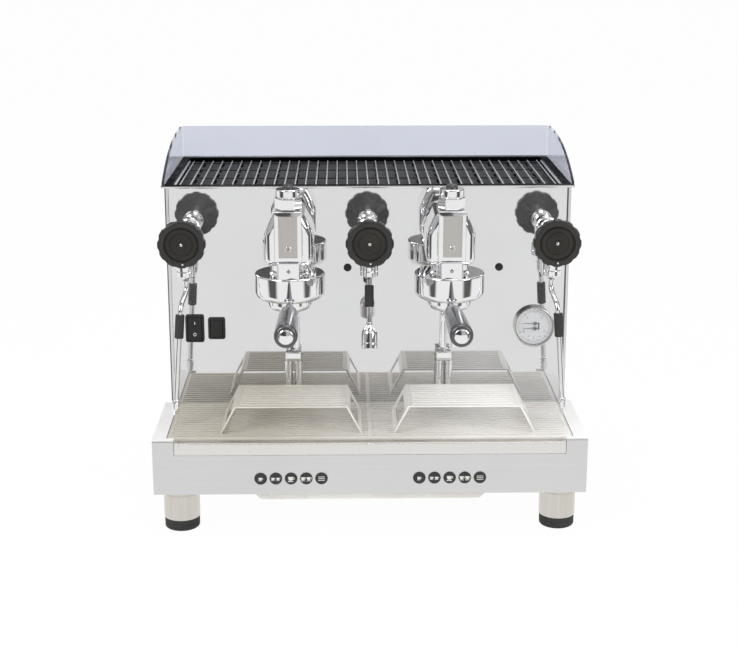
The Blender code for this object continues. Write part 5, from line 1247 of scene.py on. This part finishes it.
# cups: which of them each button shows, by steps across and up, width and height
button = {
    "radius": 0.0092, "proud": 0.0015, "edge": 0.0009, "z": 0.0925, "pitch": 0.0224, "print": 0.00012,
    "mark": 1.35,
    "cups": {
        1: ((-0.0004, -0.0014, 0.0042, 0.0028),),
        2: ((-0.0033, -0.0012, 0.0038, 0.0025), (0.0022, -0.0012, 0.0038, 0.0025)),
        3: ((-0.0005, -0.0020, 0.0058, 0.0042),),
        4: ((-0.0036, -0.0016, 0.0046, 0.0034), (0.0026, -0.0016, 0.0046, 0.0034)),
    },
    "bars": (-0.0020, 0, 0.0020), "barHalf": 0.0036, "barThick": 0.00035,
}


def flatRing(radius, thick, steps, rounds, at=(0, 0, 0), turn=0.0):
    # a ring pressed flat, for the prints
    clearSelection()
    bpy.ops.mesh.primitive_torus_add(
        major_radius=radius, minor_radius=thick, major_segments=steps, minor_segments=rounds, location=at,
        rotation=(turn, 0, 0),
    )
    ring = bpy.context.object
    ring.scale = (1, 1, 0.4)
    settle()
    return ring


def cupMark(at, width, height):
    # outline of a small cup as a flat raised print
    half, foot = width / 2, width * 0.30
    push = (0, -button["print"], 0)
    bowl = ((-half, height), (-foot, 0), (foot, 0), (half, height))
    low, high = -height * 0.34, -height * 0.14
    saucer = ((-half, low), (half, low), (half, high), (-half, high))
    marks = [outlineShape("mark", [near(at, across, 0, up) for across, up in outline], push)
             for outline in (bowl, saucer)]
    ear = flatRing(height * 0.26, height * 0.08, 20, 6, near(at, half * 0.98, 0, height * 0.58), math.pi / 2)
    return marks + [ear]


def buttonMark(index, x):
    # cups on the first four buttons of a row, three bars on the last
    at = (x, levels["front"] - button["proud"], button["z"])
    parts = []
    for across, up, width, height in button["cups"].get(index, ()):
        parts += cupMark(near(at, across, 0, up), width, height)
    if not parts:
        half, thick = button["barHalf"], button["barThick"]
        for step in button["bars"]:
            parts.append(block("mark", near(at, -half, -button["print"], step - thick),
                               near(at, half, 0, step + thick)))
    return parts


def buildButtons():
    # one row is modelled on the left, and the other is a copy of it
    radius, proud, edge = button["radius"], button["proud"], button["edge"]
    profile = [(0, 0.0036), (radius + 0.0016, 0.0036), (radius + 0.0016, 0.0016), (radius, 0.0016)]
    profile += arcPoints((radius - edge, -proud + edge), edge, 0, -90, 4)
    profile += [(radius - 0.0016, -proud), (radius - 0.0018, -proud + 0.0002), (0, -proud + 0.0002)]
    places = [(groupXs["left"] + step * button["pitch"], levels["front"], button["z"])
              for step in (-2, -1, 0, 1, 2)]
    first = spinShape("buttonLeft1", profile, places[0], axis="Y", steps=56)
    grow = Matrix.Diagonal((button["mark"], 1, button["mark"], 1))
    for index, place in enumerate(places, 1):
        node = "button_{}_" + str(index)
        made = first
        if index > 1:
            made = copyPiece(first, "buttonLeft" + str(index), (place[0] - places[0][0], 0, 0))
        finishSides(made, groupXs, node, "button_black", "buttonPlastic", node)
        mark = joinPieces("buttonMarkLeft" + str(index), buttonMark(index, place[0]))
        there = Matrix.Translation(Vector(place))
        mark.matrix_world = there @ grow @ there.inverted()
        choose(mark)
        settle()
        finishSides(mark, groupXs, node, "button_black", "printPale")


buildButtons()
print("buttons ready")

# bar and ring: how far the ON and OFF marks stand above and below the rocker's middle
switch = {"x": -0.2700, "z": 0.274, "print": 0.00015, "bar": 0.0085, "ring": -0.0090}


def buildSwitch(name, marked):
    title = name.title()
    plastic = looks["switchPlastic"]
    sheetFromNode(name + "_switch_housing", "switchHousing" + title, "machine", "switch_black", plastic,
                  0.0008, 3, 30)
    body = name + "_switch_rocker"
    sheetFromNode(body, "switchRocker" + title, body, "switch_black", plastic, 0.0004, 2, 30)
    if not marked:
        return
    bar = block("mark", (-0.0006, -0.0020, 0), (0.0006, 0.0020, switch["print"]))
    ring = flatRing(0.0021, 0.00045, 32, 8)
    # each mark lies on the rocker where a line from the front meets it
    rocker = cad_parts[body].data
    surface = BVHTree.FromPolygons([point.co for point in rocker.vertices],
                                   [face.vertices[:] for face in rocker.polygons])
    for part, rise in ((bar, switch["bar"]), (ring, switch["ring"])):
        hit = surface.ray_cast(Vector((switch["x"], levels["front"], switch["z"] + rise)), Vector((0, 1, 0)))
        aimPiece(part, hit[0], hit[1])
    finishPiece(joinPieces("switchMarks" + title, [bar, ring]), body, "switch_black", looks["printPale"])


buildSwitch("main", True)
buildSwitch("side", False)
print("switches ready")

# scales: first and last angle in degrees; marks: length and width
gauge = {
    "x": 0.2582, "z": 0.2758, "radius": 0.0315, "face": 0.012, "dialFace": 0.0055, "scale": 0.0240,
    "upperScale": (205, -25), "upperMarks": 30, "numbers": ("0", "1", "2", "3"), "numberReach": 0.0178,
    "lowerScale": (215, 325), "lowerMarks": 16, "lowNumbers": ("4", "8", "12"), "lowReach": 0.0182,
    "longMark": (0.0036, 0.00075), "shortMark": (0.0020, 0.00045), "numberSize": 0.0054, "lowSize": 0.72,
    "hubX": 0.2597, "upperZ": 0.2806, "lowerZ": 0.2730, "printStep": 0.0003, "needleStep": 0.0013,
}


def textPiece(name, words, size, place):
    # letters made a mesh, standing on the dial and facing the user
    clearSelection()
    bpy.ops.object.text_add(location=(0, 0, 0))
    text = bpy.context.object
    text.data.body = words
    text.data.size = size
    text.data.align_x = "CENTER"
    text.data.align_y = "CENTER"
    text.data.extrude = 0.00004
    bpy.ops.object.convert(target="MESH")
    piece = bpy.context.object
    piece.name = name
    piece.rotation_euler = (math.pi / 2, 0, 0)
    piece.location = place
    settle()
    editAll(piece)
    closeEdit(closeness["letters"])
    return piece


def scaleAngle(scale, step, steps):
    first, last = gauge[scale]
    return math.radians(first + (last - first) * step / steps)


def numberPiece(words, angle, reach, size, front):
    place = (gauge["x"] + reach * math.cos(angle), front, gauge["z"] + reach * math.sin(angle))
    return textPiece("number", words, size, place)


def dialPrint(front):
    # the long and short marks of both scales, then their numbers
    marks = []
    for scale, count in (("upperScale", gauge["upperMarks"]), ("lowerScale", gauge["lowerMarks"])):
        for step in range(count + 1):
            if scale == "lowerScale" and step in (0, count):
                continue
            angle = scaleAngle(scale, step, count)
            length, width = gauge["shortMark"] if step % 5 else gauge["longMark"]
            out = Vector((math.cos(angle), 0, math.sin(angle)))
            spot = Vector((gauge["x"], front, gauge["z"])) + out * (gauge["scale"] - length / 2 + 0.0014)
            clearSelection()
            bpy.ops.mesh.primitive_cube_add(
                size=1, location=spot, scale=(length, 0.00012, width), rotation=(0, -angle, 0),
            )
            marks.append(bpy.context.object)
            settle()
    reach, size = gauge["numberReach"], gauge["numberSize"]
    for index, words in enumerate(gauge["numbers"]):
        angle = scaleAngle("upperScale", index, len(gauge["numbers"]) - 1)
        marks.append(numberPiece(words, angle, reach, size, front))
    reach, size = gauge["lowReach"], size * gauge["lowSize"]
    for index, words in enumerate(gauge["lowNumbers"]):
        angle = scaleAngle("lowerScale", index + 1, len(gauge["lowNumbers"]) + 1)
        marks.append(numberPiece(words, angle, reach, size, front))
    return joinPieces("gaugeScale", marks)


def buildGauge():
    x, z = gauge["x"], gauge["z"]
    at = (x, levels["panel"], z)
    radius, face = gauge["radius"], gauge["face"]
    ring = [(0.0285, 0.026), (0.0285, -0.0003), (radius, -0.0003), (radius, -0.0100)]
    ring += arcPoints((radius - 0.0009, -face + 0.0009), 0.0009, 0, -90, 5)
    ring += [(0.0303, -face), (0.0300, -face + 0.0005), (0.0299, -face + 0.0012), (0.0299, -0.0091),
             (0.0294, -0.0086), (0.0294, -0.0055), (0, -0.0055), (0, -0.0050), (0.0275, -0.0050),
             (0.0275, 0.0200), (0, 0.0200), (0, 0.026)]
    case = spinShape("gaugeBezel", ring, at, axis="Y", steps=96, smooth=32)
    finishPiece(case, "machine", "gauge", looks["rodSteel"], "gauge_case")
    dialY = levels["panel"] - gauge["dialFace"]
    dial = spinShape("gaugeDial", [
        (0, -0.0002), (0.0290, -0.0002), (0.0293, -0.0001), (0.0293, 0.0004), (0, 0.0004),
    ], (x, dialY, z), axis="Y", steps=80)
    finishPiece(dial, "machine", "gauge", looks["dialPaint"])
    inner = spinShape("gaugeDialRing", [
        (0.0283, -0.0003), (0.0291, -0.0003), (0.0291, -0.0001), (0.0283, -0.0001), (0.0283, -0.0003),
    ], (x, dialY, z), axis="Y", steps=80)
    finishPiece(inner, "machine", "gauge", looks["printDark"])
    front = dialY - gauge["printStep"]
    finishPiece(dialPrint(front), "machine", "gauge", looks["printDark"])
    onDial = (x, front, z)
    band = block("gaugeBand", near(onDial, 0.0062, -0.00005, -0.0052), near(onDial, 0.0086, 0.0001, 0.0060))
    finishPiece(band, "machine", "gauge", looks["printDark"])
    glass = spinShape("gaugeGlass", [
        (0, -0.0108), (0.0294, -0.0108), (0.0298, -0.0104), (0.0298, -0.0096), (0, -0.0094),
    ], at, axis="Y", steps=80)
    finishPiece(glass, "machine", "gauge", looks["gaugeGlass"])
    hubAt = (gauge["hubX"], front, gauge["upperZ"])
    outline = [(-0.0190, -0.0002), (-0.0012, -0.00055), (0.0055, -0.0010),
               (0.0055, 0.0010), (-0.0012, 0.00055), (-0.0190, 0.0002)]
    outline = [near(hubAt, across, 0, up) for across, up in outline]
    blade = outlineShape("needle", outline, (0, -0.0006, 0), soft=0.0001)
    hub = spinShape("hub", [
        (0, 0), (0.0028, 0), (0.0028, -0.0008), (0.0024, -0.0011), (0.0008, -0.0012), (0, -0.0012),
    ], hubAt, axis="Y", steps=28)
    upper = joinPieces("gaugeNeedleUpper", [blade, hub])
    # the lower needle turns in front of the upper one
    drop = (0, -gauge["needleStep"], gauge["lowerZ"] - gauge["upperZ"])
    lower = copyPiece(upper, "gaugeNeedleLower", drop)
    for piece, node in ((upper, "gauge_needle_upper"), (lower, "gauge_needle_lower")):
        finishPiece(piece, node, "needle_black", looks["needlePaint"], node)


buildGauge()
print("gauge ready")

foot = {
    "sleeve": 0.027, "pad": 0.0262, "padHeight": 0.017, "top": 0.0677,
    "places": (("front", 0.284, -0.13035), ("rear", 0.275, 0.24465)),
}


def buildFeet():
    wide, pad, low, top = foot["sleeve"], foot["pad"], foot["padHeight"], foot["top"]
    profile = [(0.0180, low + 0.0004), (0.0258, low + 0.0004), (0.0266, low + 0.0007), (wide, low + 0.0016),
               (wide, 0.0560), (0.0266, 0.0564), (0.0266, 0.0574), (wide, 0.0578), (wide, 0.0668),
               (0.0262, top), (0, top), (0, 0.0600), (0.0180, 0.0600), (0.0180, low + 0.0004)]
    tread = [(0, 0.0008), (0.0090, 0.0008), (0.0100, 0), (0.0218, 0)]
    tread += arcPoints((pad - 0.0040, 0.0040), 0.0040, -80, 0, 6)
    tread += [(pad, 0.0085), (0.0256, 0.0092), (pad, 0.0099), (pad, 0.0160), (0.0256, 0.0171), (0, 0.0171)]
    sleeve = spinShape("footSleeve", profile, steps=72)
    rubber = spinShape("footPad", tread, steps=72, smooth=40)
    for end, x, y in foot["places"]:
        for side, sign in (("left", -1), ("right", 1)):
            name, place = end.title() + side.title(), (sign * x, y, 0)
            finishPiece(copyPiece(sleeve, "footSleeve" + name, place), "machine", "foot_steel",
                        looks["footSteel"], "foot_" + end + "_" + side)
            finishPiece(copyPiece(rubber, "footPad" + name, place), "machine", "foot_steel",
                        looks["padRubber"])
    dropModels(sleeve, rubber)


buildFeet()
print("feet ready")

drain = {
    "y": -0.01635, "blockHalf": (0.012, 0.0065), "blockLow": 0.226, "blockTop": 0.241, "blockRound": 0.0022,
    "stubZ": 0.2335, "spread": 0.0077, "tube": 0.0056, "bore": 0.0044, "end": 0.165,
}


def buildDrainPipes():
    x, y = groupXs["left"], drain["y"]
    half, deep = drain["blockHalf"]
    body = block("drainBlock", (x - half, y - deep, drain["blockLow"]),
                 (x + half, y + deep, drain["blockTop"]), drain["blockRound"], 4)
    stub = spinShape("stub", [
        (0, -0.014), (0.0070, -0.014), (0.0070, -0.0035), (0.0095, -0.0030), (0.0098, -0.0024),
        (0.0098, -0.0003), (0.0070, -0.0003), (0.0070, 0.0120), (0, 0.0120),
    ], (x, levels["panel"], drain["stubZ"]), axis="Y", steps=40)
    tube, bore, end = drain["tube"], drain["bore"], drain["end"]
    pipe = spinShape("tube", [
        (bore, end), (0.0050, end), (tube, end + 0.0006), (tube, 0.2215), (0.0062, 0.2222), (0.0062, 0.2262),
        (0, 0.2262), (0, 0.1850), (bore, 0.1850), (bore, end),
    ], (x - drain["spread"], y, 0), steps=36)
    tubes = copiesAt(pipe, [(2 * drain["spread"], 0, 0)])
    piece = joinPieces("drainPipesLeft", [body, stub] + tubes)
    finishSides(piece, groupXs, "machine", "chrome", "chrome", "drain_pipes_{}")


buildDrainPipes()
print("discharge pipes ready")

cupRack = {
    "rod": 0.0012, "pitch": 0.016, "half": 0.2977, "front": 0.01395, "rear": 0.25165, "top": 0.4974,
    "inset": 0.003, "crossYs": (0.093, 0.172), "sideRod": 0.002, "standXs": (-0.26, 0, 0.26),
}


def rackRod(at, axis, low, high):
    radius = cupRack["rod"]
    return spinShape("rod", [
        (0, low), (radius * 0.7, low), (radius, low + radius * 0.4), (radius, high - radius * 0.4),
        (radius * 0.7, high), (0, high),
    ], at, axis=axis, steps=14, smooth=40)


def buildCupRack():
    half, top, radius, pitch = cupRack["half"], cupRack["top"], cupRack["rod"], cupRack["pitch"]
    front, rear, wide = cupRack["front"], cupRack["rear"], cupRack["sideRod"]
    spaces = int((2 * half - 0.004) // pitch)
    first = -spaces / 2 * pitch
    rod = rackRod((first, 0, top - radius), "Y", front + 0.001, rear - 0.001)
    made = copiesAt(rod, [(step * pitch, 0, 0) for step in range(1, spaces + 1)])
    ends = (front + cupRack["inset"], rear - cupRack["inset"])
    rod = rackRod((0, ends[0], top - 3 * radius + 0.0002), "X", -half, half)
    cross = copiesAt(rod, [(0, y - ends[0], 0) for y in (ends[1], *cupRack["crossYs"])])
    rod = spinShape("rod", [(0, front), (wide, front), (wide, rear), (0, rear)], (wide - half, 0, top - wide),
                    axis="Y", steps=16, smooth=40)
    made += copiesAt(rod, [(2 * (half - wide), 0, 0)])
    places = [(x, y) for x in cupRack["standXs"] for y in ends]
    stand = spinShape("stand", [
        (0, 0.4873), (0.0022, 0.4873), (0.0026, 0.4880), (0.0026, 0.4905), (0.0014, 0.4912),
        (0.0014, 0.4930), (0, 0.4930),
    ], (*places[0], 0), steps=16, smooth=40)
    made += copiesAt(stand, [(x - places[0][0], y - places[0][1], 0) for x, y in places[1:]])
    finishPiece(joinPieces("cupRack", made), "cup_grid", "chrome", looks["rackRod"], "cup_grid")
    finishPiece(joinPieces("cupRackCross", cross), "cup_grid", "chrome", looks["bedBlack"])


buildCupRack()

cupBed = {
    "low": (-0.2980, 0.0134, 0.48725), "high": (0.2980, 0.2818, 0.4882), "columns": 18, "rows": 5,
    "first": (-0.272, 0.040), "pitch": (0.032, 0.054), "slot": (0.0022, 0.018), "cut": (0.480, 0.4905),
}


def buildCupBed():
    # dark sheet with rows of slots, lying in the warming well
    bed = block("cupBed", cupBed["low"], cupBed["high"], soft=0.0003)
    wide, long = cupBed["slot"]
    below, above = cupBed["cut"]
    slots = []
    for row in range(cupBed["rows"]):
        for column in range(cupBed["columns"]):
            x = cupBed["first"][0] + column * cupBed["pitch"][0]
            y = cupBed["first"][1] + row * cupBed["pitch"][1]
            slots.append(block("slot", (x - wide, y - long, below), (x + wide, y + long, above)))
    cutAway(bed, joinPieces("bedSlots", slots))
    finishPiece(bed, "machine", "brushed_steel", looks["bedBlack"])


buildCupBed()
print("cup rack ready")

# rear screws by X and Z, side screws by Y and Z
smallParts = {
    "plugXs": {"left": -0.032, "right": 0.202}, "plugZ": 0.370,
    "screw": 0.0042, "screwProud": 0.0016, "flankX": 0.31, "gland": (0.180, 0.25165, 0),
    "rearScrews": ((-0.292, 0.085), (0.292, 0.085), (-0.292, 0.281), (0.292, 0.281), (-0.292, 0.478),
                   (0.292, 0.478), (0.0, 0.085), (0.0, 0.478)),
    "sideScrews": ((0.020, 0.090), (0.283, 0.090), (0.020, 0.470), (0.283, 0.470)),
}


def buildSmallParts():
    plug = spinShape("panelPlugLeft", [
        (0, 0.0010), (0.0048, 0.0010), (0.0048, -0.0002), (0.0062, -0.0002), (0.0061, -0.0010),
        (0.0048, -0.0019), (0.0020, -0.0023), (0, -0.0024),
    ], (smallParts["plugXs"]["left"], levels["panel"], smallParts["plugZ"]), axis="Y", steps=40)
    finishSides(plug, smallParts["plugXs"], "machine", "mirror_steel", "switchPlastic")
    head = screwHead("screwHead", smallParts["screw"], smallParts["screwProud"])
    for index, (x, z) in enumerate(smallParts["rearScrews"], 1):
        at = (x, levels["rear"] + 0.0002, z)
        screw = aimPiece(ownCopy(head, "rearScrew" + str(index)), at, (0, 1, 0))
        finishPiece(screw, "machine", "brushed_steel", looks["rodSteel"])
    for side, sign in (("Left", -1), ("Right", 1)):
        for index, (y, z) in enumerate(smallParts["sideScrews"], 1):
            at = (sign * smallParts["flankX"], y, z)
            screw = aimPiece(ownCopy(head, "sideScrew" + side + str(index)), at, (sign, 0, 0))
            finishPiece(screw, "machine", "mirror_steel", looks["rodSteel"])
    dropModels(head)
    gland = spinShape("cableGland", [
        (0.0060, 0.0540), (0.0078, 0.0540), (0.0090, 0.0548), (0.0094, 0.0560), (0.0094, 0.0600),
        (0.0108, 0.0604), (0.0110, 0.0610), (0.0110, 0.0677), (0.0085, 0.0677), (0.0085, 0.0750),
        (0.0060, 0.0750), (0.0060, 0.0540),
    ], smallParts["gland"], steps=48)
    finishPiece(gland, "machine", "gland_black", looks["switchPlastic"], "cable_gland")


buildSmallParts()

# these CAD pieces stay as they are and only get their look
for node, look in (("front_panel", "mirrorSteel"), ("boiler", "copperSheet"), ("pump_set", "castGrey")):
    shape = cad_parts[node]
    for holder in shape.material_slots:
        holder.material = looks[look]
print("small parts ready")
